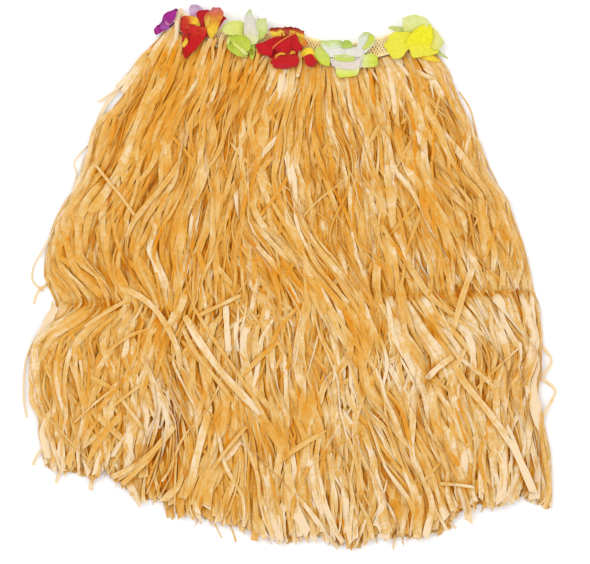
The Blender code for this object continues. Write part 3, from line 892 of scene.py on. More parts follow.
def tangle_piece():
    """Short ribbons that lie across the others where the skirt was ruffled."""
    chance = np.random.default_rng(34)
    places = [(chance.normal(x, across * 0.6), chance.normal(y, along * 0.6))
              for x, y, across, along, ribbons in TANGLES for _ in range(ribbons)]
    x0, y0 = np.array(places).T * MM
    left, right = edges_at(y0)
    inside = (x0 > left + 12 * MM) & (x0 < right - 12 * MM)
    inside &= (y0 > hem_y(x0) + 25 * MM) & (y0 < root_y(x0) - 30 * MM)
    x0, y0 = x0[inside], y0[inside]
    count = len(x0)
    reach = np.minimum(chance.uniform(12, 34, count) * MM, y0 - hem_y(x0) - 4 * MM)
    lean = chance.normal(0, 0.62, count)
    bend = chance.normal(0, 0.12, count)
    steps = np.linspace(-1, 1, 10)[None, :]
    y = y0[:, None] - reach[:, None] * steps
    x = x0[:, None] + reach[:, None] * (lean[:, None] * steps + bend[:, None] * steps ** 2)
    left, right = edges_at(y)
    x = np.clip(x, left + 1 * MM, right - 1 * MM)
    arch = 1 - np.abs(steps) ** 3
    z = on_pile((10.5 + chance.uniform(0, 3.0, (count, 1)) + 2.0 * arch) * MM, x, y)
    half = chance.uniform(0.8, 3.2, (count, 1)) * MM * (0.35 + 0.65 * arch)
    tone = np.clip(chance.normal(0.64, 0.15, (count, 1)), 0.48, 0.95)
    return dressed("raffia_tangles", x, y, z, half, tone, chance, 0.6)


loose = [stray_piece(), head_piece(), fray_piece(), tangle_piece()]

# %% [markdown]
# ### Painted light and shade: deeper is more orange
#
# The tone carries painted light and shade. Ribbons on top are painted paler, and so are the two
# sides, the hem and some patches, while other patches are painted darker. Those that lie deep
# are painted the deep orange of shade. A height map of the whole pile tells, for each corner of
# each ribbon, how far it lies below what is around it.

# %% Painted light and shade in patches, at the sides and at the hem
# Painted light: the thin fringe at the two sides is paler, as light comes through it, and the tone rises
# towards the hem.
LEFT_GLOW, RIGHT_GLOW, EDGE_REACH = 0.28, 0.10, 0.022
HEM_GLOW, TONE_FLOOR = 0.22, 0.34
# Patches of painted highlight (positive gain) and painted shade (negative gain).
LIGHT_AND_SHADE_PATCHES = (  # x, y, across, along, gain
    (-112, -130, 22, 32, 0.34), (199, -50, 28, 22, 0.45), (104, -92, 20, 22, 0.45),
    (-12, -162, 17, 17, -0.45), (73, -56, 18, 24, -0.45), (-116, 167, 18, 26, -0.45),
    (135, 150, 16, 18, -0.22), (235, -14, 14, 16, 0.35), (136, 11, 16, 14, 0.4), (-131, -152, 14, 14, 0.3),
    (58, -123, 14, 18, 0.4), (18, -128, 14, 14, -0.35), (-73, -147, 14, 14, -0.35), (-9, 0, 16, 16, -0.35),
    (-137, -63, 18, 12, -0.35), (-44, 187, 15, 18, -0.35), (-122, 216, 15, 12, -0.4),
    (232, -165, 18, 30, 0.3), (-4, 194, 16, 14, 0.38), (142, 204, 14, 12, 0.1), (111, 210, 7, 9, 0.15),
    (124, 90, 18, 10, 0.15), (0, 108, 12, 14, 0.3), (-51, -58, 10, 20, 0.4), (145, -48, 6, 14, -0.5),
    (-100, 218, 50, 26, -0.2), (-50, 196, 20, 14, -0.25), (50, -208, 14, 18, 0.3), (99, -206, 12, 16, 0.3),
    (-105, 144, 10, 10, 0.35), (186, 10, 16, 24, 0.35), (160, 166, 10, 10, 0.25), (69, 112, 10, 14, 0.25),
    (-85, -110, 10, 22, -0.3), (-54, -130, 10, 14, -0.3), (75, -112, 10, 12, -0.25),
    (157, -146, 12, 12, -0.3), (145, 82, 12, 12, -0.3), (-191, 80, 10, 14, -0.3), (-104, -38, 10, 12, -0.3),
    (78, -178, 10, 12, 0.3), (89, -4, 6, 16, -0.45), (120, -68, 12, 12, -0.25), (-88, -219, 24, 14, -0.3),
    (131, -237, 16, 14, -0.3), (-135, -205, 60, 22, -0.16), (-50, -232, 36, 20, -0.14),
    (20, -250, 26, 24, 0.12), (245, -200, 18, 34, 0.16), (178, -215, 22, 20, -0.12),
)


def with_painted_light_and_shade(x, y, tone):
    """Tone with painted light and shade: the patches, and the paler two sides and hem."""
    for middle_x, middle_y, across, along, gain in LIGHT_AND_SHADE_PATCHES:
        sideways, down = (x / MM - middle_x) / across, (y / MM - middle_y) / along
        tone = tone + gain * np.exp(-sideways ** 2 - down ** 2)
    share = share_at(x, y)
    glow = LEFT_GLOW * np.exp(-np.clip(share, 0, 1) / EDGE_REACH)
    glow += RIGHT_GLOW * np.exp(-np.clip(1 - share, 0, 1) / EDGE_REACH)
    glow += HEM_GLOW * smooth_step(hem_y(x) + 50 * MM - y, 0, 45 * MM)
    return np.maximum(tone + glow, TONE_FLOOR)


# %% Painted light and shade by depth
MAP_CELL, MAP_HALF = 1.5 * MM, 290 * MM
# The tone of painted shade deep in the pile, and the painted light added where a ribbon stands out.
PAINTED_SHADE_TONE, PAINTED_LIGHT_TONE = 0.02, 0.10


def cells_of(points):
    """Cells of the height map that some points fall in."""
    return tuple(((points[..., axis] + MAP_HALF) / MAP_CELL).astype(int) for axis in (0, 1))


def corners_of(piece):
    """The corners of a piece's ribbons, as (ribbon, point, corner, 3)."""
    verts = np.empty(3 * len(piece.data.vertices))
    piece.data.vertices.foreach_get("co", verts)
    return verts.reshape(-1, ribbon_points[piece.name], 4, 3)


def height_map(pieces):
    """Height of the pile in every cell, evened out over its neighbours."""
    cells = int(2 * MAP_HALF / MAP_CELL) + 1
    heights = np.zeros((cells, cells))
    for piece in pieces:
        corners = corners_of(piece)
        for along in np.linspace(0, 0.8, 5):
            ring = corners[:, :-1] * (1 - along) + corners[:, 1:] * along
            for across in np.linspace(0, 1, 5):
                spots = ring[:, :, 0] * (1 - across) + ring[:, :, 2] * across
                np.maximum.at(heights, cells_of(spots), spots[..., 2])
    shifts = [(i, j) for i in range(-2, 3) for j in range(-2, 3)]
    return sum(np.roll(heights, shift, (0, 1)) for shift in shifts) / len(shifts)


def inside_share(x, y):
    """1 well inside the outline, falling to a half at its sides and at the hem."""
    share = share_at(x, y)
    side = smooth_step(np.minimum(share, 1 - share), 0, 0.03)
    return 0.5 + 0.5 * side * smooth_step(y - hem_y(x), 0, 16 * MM)


def paint_light_and_shade_by_depth(pieces):
    """Painted shade and light: what lies below its surroundings turns more orange, what stands out paler.
    """
    around = height_map(pieces)
    for piece in pieces:
        corners = corners_of(piece).reshape(-1, 3)
        lower = around[cells_of(corners)] - corners[:, 2]
        tones = piece.data.attributes["leaf_tone"].data
        paint = np.empty(4 * len(lower))
        tones.foreach_get("color", paint)
        own = with_painted_light_and_shade(corners[:, 0], corners[:, 1], paint[::4])
        own += PAINTED_LIGHT_TONE * smooth_step(-lower, 0, 2.5 * MM)
        depth = smooth_step(lower, 0.3 * MM, 3.6 * MM) * inside_share(corners[:, 0], corners[:, 1])
        paint[::4] = own + (PAINTED_SHADE_TONE - own) * depth
        tones.foreach_set("color", paint)


paint_light_and_shade_by_depth([*rows, surface, fine, *loose])
print("tones follow the depth of", len(ribbon_points), "pieces")

# %% [markdown]
# ## The waistband
#
# The band is an elastic braid: cords that zigzag across its width, each passing over one
# neighbour and under the next, between two straight edge cords. Pressed flat, the loop has a
# front run, a back run and two tight turns. The cords are thin and many, so they are written
# as arrays along the loop's own line and joined.

# %% The loop that every cord follows
BAND_HALF = 10 * MM
BAND_BACK, BAND_FRONT = 1.35 * MM, 4.25 * MM
BAND_CORDS, BAND_WAVES = 9, 18
CORD_HALF, CORD_DEPTH = 0.74 * MM, 0.40 * MM
EDGE_HALF, EDGE_DEPTH = 1.0 * MM, 0.55 * MM
WEAVE_HEIGHT = 0.42 * MM
CORD_STEPS, CORD_SIDES = 44, 6
ZIGZAG_INSET, ZIGZAG_BEND = 1.3 * MM, 0.96


def loop_line(count):
    """Points, width directions and outward directions along the flattened loop."""
    left, right = waist["x"][0], waist["x"][-1]
    radius = (BAND_FRONT - BAND_BACK) / 2
    run = right - left - 2 * radius
    turn = math.pi * radius
    total = 2 * (run + turn)
    place = np.arange(count) / count * total
    on_front = place < run
    on_right = (place >= run) & (place < run + turn)
    on_back = (place >= run + turn) & (place < 2 * run + turn)
    angle = np.where(on_right, (place - run) / radius, (place - 2 * run - turn) / radius + math.pi)
    middle = BAND_BACK + radius
    x = np.where(on_front, left + radius + place,
                 np.where(on_back, right - radius - (place - run - turn),
                          np.where(on_right, right - radius + radius * np.sin(angle),
                                   left + radius + radius * np.sin(angle))))
    z = np.where(on_front, BAND_FRONT, np.where(on_back, BAND_BACK, middle + radius * np.cos(angle)))
    turning = ~(on_front | on_back)
    out = np.stack((np.where(turning, np.sin(angle), 0), np.zeros(count),
                    np.where(turning, np.cos(angle), np.where(on_front, 1.0, -1.0))), axis=1)
    y = np.interp(x, waist["x"], waist["y"])
    return np.stack((x, y, z), axis=1), out, total


# %% Braid the cords
def tube_rings(path, out, half, depth):
    """Oval rings of points round a closed path, wide along the band and shallow across it."""
    run = np.roll(path, -1, axis=0) - np.roll(path, 1, axis=0)
    run /= np.linalg.norm(run, axis=1, keepdims=True)
    side = np.cross(run, out)
    side /= np.linalg.norm(side, axis=1, keepdims=True)
    up = np.cross(side, run)
    angles = 2 * np.pi * np.arange(CORD_SIDES) / CORD_SIDES
    return (path[:, None] + half * side[:, None] * np.cos(angles)[None, :, None]
            + depth * up[:, None] * np.sin(angles)[None, :, None])


def closed_tube(rings, first):
    """Faces of a tube that closes on itself; its corners are numbered from first."""
    count, sides = rings.shape[:2]
    ids = first + np.arange(count * sides).reshape(count, sides)
    ahead, beside = np.roll(ids, -1, axis=0), np.roll(ids, -1, axis=1)
    diagonal = np.roll(ahead, -1, axis=1)
    return np.stack((ids, ahead, diagonal, beside), axis=-1).reshape(-1, 4)


def braid_band():
    """All the cords of the band in one mesh."""
    count = BAND_WAVES * CORD_STEPS
    line, out, total = loop_line(count)
    share = np.arange(count) / count
    parts, faces = [], []

    def add_cord(across, over, half, depth):
        path = line + out * over[:, None]
        path[:, 1] += across
        rings = tube_rings(path, out, half, depth)
        faces.append(closed_tube(rings, len(parts) * count * CORD_SIDES))
        parts.append(rings.reshape(-1, 3))

    for cord in range(BAND_CORDS):
        phase = share * BAND_WAVES + cord / BAND_CORDS
        saw = np.abs((phase % 1.0) * 2 - 1) * 2 - 1
        going = np.where((phase % 1.0) < 0.5, 1.0, -1.0)
        add_cord(np.sin(saw * math.pi / 2 * ZIGZAG_BEND) * (BAND_HALF - ZIGZAG_INSET),
                 WEAVE_HEIGHT * going * np.cos(phase * 2 * BAND_CORDS * math.pi), CORD_HALF, CORD_DEPTH)
    for edge in (-1, 1):
        add_cord(edge * (BAND_HALF - EDGE_HALF), 0.0 * share, EDGE_HALF, EDGE_DEPTH)
    piece = new_piece("waistband_braid", np.concatenate(parts), np.concatenate(faces))
    print("waistband:", BAND_CORDS + 2, "cords,", 2 * len(piece.data.polygons), "triangles, loop",
          round(total / MM), "mm")
    return piece


def cord_finish():
    """Natural cotton-covered cord with a fine twist and a blush of pink."""
    material, shader, uv = new_finish("band_cord", 0.85, sheen=0.2)
    here = uv.output("Object")
    twist, blush = noise(here, 900.0, 1.0), noise(here, 60.0)
    shade = (twist * 0.45 + blush * 0.55).clamped()
    ramp = uv.node("ShaderNodeValToRGB", {"Fac": shade}, stops=(
        (0.30, (0.92, 0.58, 0.20)), (0.50, (0.97, 0.76, 0.36)), (0.70, (0.98, 0.86, 0.56))))
    feed(ramp, shader, "Base Color")
    emboss(twist, shader, 0.6, 0.2 * MM)
    return material


band = braid_band()
band.data.materials.append(cord_finish())
band.data.shade_smooth()
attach(band, "root")
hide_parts("waistband")

# %% [markdown]
# ## Petal cloth
#
# The flowers are die-cut from stiffened polyester and shaded by airbrush. Each shade is a short
# run of colours from the petal's foot to its tip, so one function makes all of them: the
# colour run, soft mottling, veins along the petal and a fine weave, with painted shade and
# highlight on the crumples and veins.

# %% Petal finishes
CLOTH_LIGHT = 0.74
SHADES = {
    "purple": ((0, 170, 80, 150), (0.3, 165, 40, 138), (0.75, 178, 55, 150), (1, 105, 10, 80)),
    "violet": ((0, 165, 70, 155), (0.5, 165, 85, 165), (1, 140, 10, 110)),
    "purple_pale": ((0, 190, 90, 160), (1, 210, 130, 180)),
    "purple_dark": ((0, 95, 20, 75), (1, 80, 20, 65)),
    "lilac": ((0, 225, 170, 210), (0.5, 230, 200, 236), (1, 190, 160, 190)),
    "red_orange": ((0, 210, 90, 45), (0.35, 203, 50, 32), (0.7, 208, 42, 42), (1, 175, 35, 35)),
    "red_gold": ((0, 240, 175, 60), (0.2, 248, 212, 65), (0.42, 225, 130, 48), (0.6, 205, 60, 38),
        (1, 176, 36, 36)),
    "red": ((0, 212, 70, 38), (0.3, 200, 28, 30), (0.7, 198, 26, 30), (1, 190, 30, 30)),
    "red_deep": ((0, 195, 50, 35), (0.5, 198, 28, 38), (1, 172, 35, 52)),
    "red_fade": ((0, 238, 180, 60), (0.18, 248, 212, 62), (0.4, 230, 165, 50), (0.6, 220, 125, 60),
        (0.78, 212, 110, 80), (0.9, 214, 120, 112), (1, 195, 100, 95)),
    "red_tan": ((0, 232, 180, 70), (1, 222, 175, 90)),
    "yellow_spot": ((0, 235, 150, 50), (0.4, 248, 212, 65), (1, 245, 200, 70)),
    "lime_pale": ((0, 210, 215, 95), (0.4, 222, 226, 120), (0.8, 224, 228, 135), (1, 205, 214, 120)),
    "lime_white": ((0, 226, 222, 160), (0.25, 228, 220, 200), (0.65, 226, 220, 208), (0.85, 218, 226, 180),
        (1, 215, 224, 165)),
    "lime_soft": ((0, 222, 222, 120), (0.3, 200, 220, 110), (0.6, 216, 224, 160), (1, 205, 214, 130)),
    "lime_cream": ((0, 230, 222, 180), (1, 226, 226, 150)),
    "lime_deep": ((0, 186, 202, 60), (0.5, 194, 207, 78), (1, 216, 222, 84)),
    "olive": ((0, 150, 150, 25), (1, 160, 160, 40)),
    "scarlet_edge": ((0, 225, 110, 50), (0.35, 245, 190, 70), (0.6, 248, 222, 70), (0.76, 200, 95, 50),
        (0.92, 165, 45, 35), (1, 105, 20, 15)),
    "scarlet_warm": ((0, 215, 110, 60), (0.5, 205, 95, 70), (0.85, 185, 60, 42), (1, 110, 20, 15)),
    "scarlet": ((0, 195, 45, 35), (0.3, 200, 28, 34), (0.8, 198, 26, 34), (1, 190, 40, 35)),
    "scarlet_lip": ((0, 225, 130, 60), (0.12, 200, 45, 35), (0.5, 200, 28, 32), (0.85, 190, 40, 50),
        (1, 190, 70, 45)),
    # A thin strip of painted highlight along the rim of the scarlet flower's central fold.
    "scarlet_glow": ((0, 225, 95, 55), (1, 238, 125, 65)),
    "sun": ((0, 246, 190, 50), (0.4, 255, 222, 60), (1, 246, 212, 66)),
    "sun_orange": ((0, 238, 190, 60), (0.4, 235, 165, 55), (1, 212, 110, 50)),
    "lime_left": ((0, 215, 215, 120), (0.4, 204, 215, 95), (0.75, 215, 222, 75), (1, 205, 205, 70)),
    "white_green": ((0, 232, 230, 222), (0.5, 226, 230, 212), (0.8, 205, 220, 150), (1, 190, 208, 120)),
    "white_lime": ((0, 228, 218, 205), (0.3, 230, 216, 205), (0.5, 228, 230, 150), (0.75, 222, 230, 105),
        (1, 218, 215, 65)),
    "lime_right": ((0, 228, 228, 185), (0.35, 224, 230, 140), (0.7, 214, 224, 90), (1, 205, 215, 70)),
    "white": ((0, 235, 234, 222), (1, 228, 222, 208)),
    "leaf_green": ((0, 200, 215, 120), (0.5, 180, 203, 90), (1, 170, 195, 75)),
    # Painted shade: the lime of the shaded inside of the white flower's cup.
    "leaf_soft": ((0, 202, 216, 105), (1, 204, 218, 110)),
    "blush": ((0, 232, 216, 205), (1, 230, 218, 200)),
    "yellow_pale": ((0, 232, 226, 90), (0.3, 226, 228, 130), (0.7, 226, 230, 155), (1, 218, 228, 130)),
    "leaf_pale": ((0, 208, 216, 130), (1, 200, 210, 120)),
    "yellow_cream": ((0, 232, 222, 60), (0.35, 228, 222, 110), (0.65, 230, 224, 140), (1, 212, 222, 130)),
    "yellow": ((0, 238, 228, 60), (0.5, 235, 228, 75), (1, 236, 228, 62)),
    "yellow_bright": ((0, 238, 230, 45), (0.6, 242, 232, 45), (1, 232, 222, 60)),
}


def seen(level):
    """Light that a cloth gives back for a level on the screen, from 0 to 255, to three digits."""
    share = level / 255  # the next line is the screen's own curve
    light = share / 12.92 if share <= 0.04045 else ((share + 0.055) / 1.055) ** 2.4
    return float(f"{max(light * CLOTH_LIGHT, 0.003):.3g}")


def petal_finish(name, stops):
    """Airbrushed cloth: a colour run along the petal, cloudy mottling, veins, crumples and weave, with
    painted shade and highlight on the crumples and veins.
    """
    material, shader, uv = new_finish("petal_" + name, 0.85, sheen=0.04, gloss=0.12)
    v = uv.node("ShaderNodeSeparateXYZ", {0: uv}).output("Y")
    here = uv.output("Object")
    mottle, crumple, weave = noise(here, 190.0), noise(here, 260.0), noise(here, 1800.0, 1.0)
    veins = noise(uv.node("ShaderNodeMapping", {"Vector": uv, "Scale": (13.0, 1.2, 1.0)}))
    place = v + (mottle - 0.5) * 0.5 + (veins - 0.5) * 0.22
    stops = [(at, [seen(level) for level in levels]) for at, *levels in stops]
    ramp = uv.node("ShaderNodeValToRGB", {"Fac": place.clamped()}, stops=stops)
    # Painted shade and highlight: the crumples and veins that the bump raises are also darkened and
    # lightened in the colour.
    value = 0.72 + crumple * 0.32 + veins * 0.24
    tinted = uv.node("ShaderNodeHueSaturation", {"Value": value, "Color": ramp}, out="Color")
    feed(tinted, shader, "Base Color")
    emboss(crumple * 0.6 + veins * 0.3 + weave * 0.1, shader, 0.6, 0.9 * MM)
    return material


shades = {name: petal_finish(name, stops) for name, stops in SHADES.items()}
print(len(shades), "petal shades")

# %% [markdown]
# ## Petals
#
# Each petal is cut and shaped by itself: a grid of cloth is added, each of its rows is
# widened, turned and set at its place along the petal's spine, the two sides are lifted into a
# cup, and the rim is pushed up and down where it ruffles. Subdivision rounds it and Solidify
# gives the cloth its thickness. A row of the tables is a petal: its number, its shade, how far
# it is cupped, ruffled and bowed, and then three to six stations from foot to tip. A station
# is the petal's left edge point, its right edge point and its height, in millimetres from the
# same corner as the strays.

# %% Shape one petal
PETAL_COLUMNS, PETAL_ROWS = 8, 10
CLOTH_THICKNESS = 0.5 * MM
CUP_PROFILE = ((0, 1.0), (1, 0.45), (2, 0.1), (3, -0.12))  # column from the rim, lift
RUFFLES = ((1.0, 0.10), (0.4, -0.06), (-0.5, 0.08), (-1.0, -0.09))  # lift, spread
RUFFLE_DRAWS = 200


def pick(petal, wanted):
    """Select the grid's points for which wanted(column, row) is true."""
    bpy.ops.mesh.select_all(action="DESELECT")
    bpy.ops.object.mode_set(mode="OBJECT")
    for number, point in enumerate(petal.data.vertices):
        point.select = wanted(number % (PETAL_COLUMNS + 1), number // (PETAL_COLUMNS + 1))
    bpy.ops.object.mode_set(mode="EDIT")


def lay_rows(petal, stations):
    """Bring every row of the grid between its two edge points. Returns the petal's middle."""
    places = []
    for row in range(PETAL_ROWS + 1):
        x1, y1, x2, y2, z = on_curve(stations, row / PETAL_ROWS)
        place = Vector(((x1 + x2) / 2 * MM - CORNER_X, CORNER_Y - (y1 + y2) / 2 * MM, z * MM))
        turn = math.atan2(y1 - y2, x2 - x1)
        pick(petal, lambda column, line: line == row)
        middle = Vector((0.0, row / PETAL_ROWS - 0.5, 0.0))
        bpy.ops.transform.resize(value=(math.hypot(x2 - x1, y2 - y1) * MM, 1, 1), center_override=middle)
        bpy.ops.transform.translate(value=place - middle)
        bpy.ops.transform.rotate(value=-turn, orient_axis="Z", center_override=place)
        places.append(place)
    return places


def cut_petal(number, shade, cup, ruffle, bow, *stations):
    """Add a grid of cloth and bring it to the petal's shape."""
    bpy.ops.object.select_all(action="DESELECT")
    bpy.ops.mesh.primitive_grid_add(x_subdivisions=PETAL_COLUMNS, y_subdivisions=PETAL_ROWS,
                                    size=1.0, location=(0, 0, 0))
    petal = bpy.context.object
    bpy.ops.object.mode_set(mode="EDIT")
    bpy.ops.mesh.select_mode(type="VERT")
    places = lay_rows(petal, stations)
    heading = (places[-1] - places[-3]).normalized() * bow * MM
    for column in range(1, PETAL_COLUMNS // 2 + 1):
        pair = (column, PETAL_COLUMNS - column)
        push = 1 - (1 - 2 * column / PETAL_COLUMNS) ** 2
        pick(petal, lambda place, line: place in pair and line > PETAL_ROWS - 2)
        bpy.ops.transform.translate(value=heading * push)
    for column, lift in CUP_PROFILE:
        pair = (column, PETAL_COLUMNS - column)
        pick(petal, lambda place, line: place in pair and line > 1)
        bpy.ops.transform.translate(value=(0, 0, cup * lift * MM))
    chance = np.random.default_rng(number)
    sort = (2 * np.arange(RUFFLE_DRAWS) + chance.integers(0, 2, RUFFLE_DRAWS)) % len(RUFFLES)
    middle = places[PETAL_ROWS // 2]
    for kind, (lift, spread) in enumerate(RUFFLES):
        pick(petal, lambda place, line: line > 1 and sort[place + line] == kind
             and (place in (0, PETAL_COLUMNS) or line == PETAL_ROWS))
        bpy.ops.transform.translate(value=(0, 0, ruffle * lift * MM))
        wider = 1 + spread * ruffle
        bpy.ops.transform.resize(value=(wider, wider, 1), center_override=middle)
    bpy.ops.object.mode_set(mode="OBJECT")
    rounding = petal.modifiers.new("rounding", "SUBSURF")
    rounding.levels = rounding.render_levels = 1
    wall = petal.modifiers.new("cloth", "SOLIDIFY")
    wall.thickness = CLOTH_THICKNESS
    wall.offset = 0.0
    for name in ("rounding", "cloth"):
        bpy.ops.object.modifier_apply(modifier=name)
    petal.data.materials.append(shades[shade])
    return petal


def make_layer(layer, petals):
    """Cut all the petals of one layer and join them."""
    bpy.ops.object.select_all(action="DESELECT")
    cut = [cut_petal(*petal) for petal in petals]
    for petal in cut:
        petal.select_set(True)
    piece = cut[0]
    bpy.context.view_layer.objects.active = piece
    if len(cut) > 1:
        bpy.ops.object.join()
    piece.name = layer + "_cloth"
    piece.data.shade_smooth()
    bpy.ops.object.mode_set(mode="EDIT")
    bpy.ops.mesh.select_all(action="SELECT")
    bpy.ops.mesh.normals_make_consistent(inside=False)
    bpy.ops.object.mode_set(mode="OBJECT")
    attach(piece, "root")
    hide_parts(layer)
    triangles = sum(len(face.vertices) - 2 for face in piece.data.polygons)
    print(piece.name, len(cut), "petals,", triangles, "triangles")


# %% Purple flower and lilac petal
make_layer("flower_purple", (
    (0, "purple", 1.6, 0.9, 0.5, (161.5, 24, 169, 26.5, 9), (163, 17.5, 174, 21.8, 11.5),
     (167.5, 13, 176.2, 17, 12.5), (172.5, 11.5, 177.2, 13, 13), (176, 8.8, 178.8, 9.8, 12.5)),
    (1, "purple", 1.6, 0.9, 0.5, (163, 20, 170, 26, 9), (159.8, 24.5, 167.5, 29, 11),
     (157, 26.5, 162.5, 32, 11.5), (154.8, 29, 158.8, 34.2, 11), (154.6, 32, 156.8, 35.6, 10.5)),
    (2, "violet", 1, 0.4, 0.3, (164, 21, 170.5, 25.5, 10.5), (161.5, 25, 169.5, 28, 12.4),
     (160, 28.5, 166.5, 30.6, 12.6), (161, 31, 164, 31.2, 12)),
    (3, "purple_pale", 0.8, 0.3, 0.2, (165, 20.5, 168, 22.5, 12.8), (165, 23, 169.8, 25, 13.4),
     (166, 25, 169.2, 26, 13.2)),
    (4, "purple_dark", 0.2, 0.1, 0, (168.5, 27.2, 169.5, 28.6, 10), (171.5, 25, 172.4, 26.4, 11),
     (174, 22.3, 174.8, 23.4, 11)),
))
make_layer("petal_lilac", (
    (5, "lilac", 0.8, 0.3, 0.5, (191, 18, 199, 18, 6.2), (189.6, 12.5, 203, 12.5, 6.5),
     (189.2, 9, 201.5, 8.3, 6.8), (191.2, 5.4, 197.6, 5.4, 7)),
))

# %% Red flower with yellow spots
make_layer("flower_red_outer", (
    (6, "red_orange", 0.3, 0.2, 0.3, (186, 24, 184, 33, 9.5), (194, 20, 192, 37, 10.5),
     (203, 20, 203, 39, 10.5), (209, 26, 208, 37, 10)),
    (7, "red_gold", 1.2, 0.8, 1, (200.6, 21, 200.6, 27, 12), (196.4, 17.2, 194.6, 28, 13.6),
     (189, 16, 188.4, 29, 14), (183.4, 17.2, 182.6, 29, 13.4), (181.6, 20, 181.2, 28, 12.6)),
    (8, "red_orange", 1.2, 0.8, 1, (199.6, 26, 199, 31, 11.6), (193.6, 25, 193, 33.8, 13.4),
     (188, 25, 187.5, 35, 13.8), (183, 25, 183.4, 33.6, 13.2), (181.2, 26, 181.6, 31.4, 12.4)),
    (9, "red_deep", 1.4, 0.6, 0.6, (201.8, 28, 206, 28, 11.5), (199.6, 21.5, 204.2, 22, 13.5),
     (196.8, 16, 205.2, 16, 14.4), (196.2, 13.5, 210.6, 13, 14.6), (199.6, 10.8, 209.5, 10.9, 14)),
    (10, "red_fade", 2, 0.6, 0.8, (210, 39, 212.4, 39, 10), (207, 31, 216, 33, 12.5),
     (204.9, 23, 219.6, 24, 15), (204.6, 16.5, 223, 18, 16.6), (208.6, 13, 223.6, 14.5, 17.4),
     (212.8, 9, 221, 9, 17.4)),
    (11, "red_tan", 0.4, 0.2, 0.2, (205.8, 26.4, 209.4, 26.4, 15.6), (204.6, 20.4, 210.6, 20.4, 16.6),
     (205.8, 15.8, 209.6, 15.8, 17)),
    (12, "red_deep", 0.5, 0.2, 0.2, (214.8, 30, 217.2, 30.6, 11), (217.2, 25.6, 220.4, 26.8, 13),
     (221.2, 19.4, 224.2, 21.2, 14.4), (223.4, 16.6, 227, 19, 14.4)),
))
make_layer("flower_red_inner", (
    (13, "red", 1.6, 0.6, 0.2, (199, 30, 206.9, 27.8, 15.2), (189.6, 34.6, 207.2, 34, 15.6),
     (190.4, 41, 203, 41.4, 15), (185.2, 47, 196.4, 49.8, 13.4), (183.4, 52.5, 190, 54.6, 11.6),
     (185, 58.6, 186.8, 59, 10)),
    (14, "red_orange", 1, 0.4, 0.3, (206.5, 27.8, 206, 30.5, 15.6), (200, 27.4, 200, 31.5, 15.6),
     (193, 26, 192, 34, 15.2), (187.5, 27.5, 187.5, 33.5, 14.8)),
    (15, "yellow_spot", 0.5, 0.2, 0.2, (185.6, 37.8, 187.2, 38.2, 12.8), (184, 42, 188.4, 42, 13.4),
     (182.4, 45.5, 187, 45.5, 13.2), (183, 47.6, 185, 47.6, 12.8)),
    (61, "red", 0.6, 0.6, 0.2, (182.4, 35.5, 194, 34.9, 12.2), (182.2, 40, 195, 40.5, 12.2),
     (182.6, 45.5, 191, 46.5, 12), (183.2, 50, 189, 51, 11.4)),
))

# %% Lime flower
make_layer("flower_lime_outer", (
    (16, "lime_pale", 0.3, 0.2, 0.3, (228, 32, 230, 50, 9), (240, 28, 240, 54, 9.6),
     (250, 30, 250, 53, 9.6), (258.5, 34, 256, 44, 9.4)),
    (17, "lime_pale", 1.8, 1, 0.6, (248, 29, 248, 38, 10), (243.4, 24, 240, 35, 12.6),
     (236.6, 20.6, 232.5, 36, 13.6), (229, 22.8, 227, 35.4, 13.8), (224, 26.8, 221.6, 31.6, 13.4)),
    (18, "lime_white", 1.6, 0.4, 0.2, (247, 42, 256, 42, 11), (244, 34, 259.6, 35.5, 13.4),
     (244.4, 25.5, 256, 26.5, 14.4), (245.2, 17, 253.6, 18.6, 14.9), (247, 12.4, 252.2, 13.6, 14.9),
     (249.4, 9.9, 251.2, 10, 14.8)),
    (19, "lime_soft", 1.8, 0.9, 0.5, (254.6, 43, 259.6, 41.4, 10.6), (257.6, 36, 265, 35.8, 12.6),
     (256.8, 29, 268.2, 29.4, 13.8), (256.2, 23.8, 267.2, 24, 14.2), (259, 19.3, 265.6, 19.3, 14)),
    (20, "lime_cream", 0.8, 0.3, 0.2, (247, 34, 258.5, 35, 13.2), (246.5, 40, 258.4, 41, 13.4),
     (248, 46, 256.2, 44.5, 13)),
    (21, "lime_deep", 1.4, 0.9, 0.2, (229.4, 36.6, 232.6, 38.6, 11), (226.9, 43, 233, 43.4, 12),
     (227.6, 48.8, 237.6, 47.4, 12.6), (232.2, 52.8, 242, 50.8, 12.8), (239, 56.8, 247, 52.4, 12.4),
     (245, 57.8, 249, 53.8, 11.6)),
    (22, "lime_deep", 1.2, 0.3, 0.2, (249.6, 43.6, 253.6, 44, 11), (249.2, 48, 254.8, 49, 11.6),
     (250, 54, 254.6, 55, 11.2), (250.8, 59, 252.8, 59.8, 10.2)),
))
make_layer("flower_lime_inner", (
    (23, "lime_deep", 2, 0.5, 0.4, (231.6, 35.6, 246, 36, 13.6), (230.2, 39.6, 250.2, 41.4, 13.6),
     (232.6, 44.4, 250.2, 47.6, 13.4), (237.8, 50, 249.2, 52, 13)),
    (24, "lime_pale", 0.4, 0.2, 0.1, (230, 40.4, 232.6, 39.6, 14.6), (232.8, 44.8, 235.8, 43.6, 14.8),
     (237.6, 48.8, 240.6, 47.4, 14.8), (241.4, 52.6, 246, 51.4, 14.4), (243.4, 56, 248.4, 54.6, 13.2)),
    (25, "lime_pale", 0.4, 0.2, 0.1, (229, 36.4, 231.4, 36.8, 14.2), (227.3, 40.8, 230, 41.2, 14.2),
     (226.9, 45, 229.2, 45, 13.4)),
    (26, "olive", 0.2, 0.1, 0, (250.6, 49.6, 252.6, 49.8, 13.2), (250.8, 52.4, 253, 52.8, 13.2),
     (251.2, 55, 252.6, 55.4, 12.8)),
))

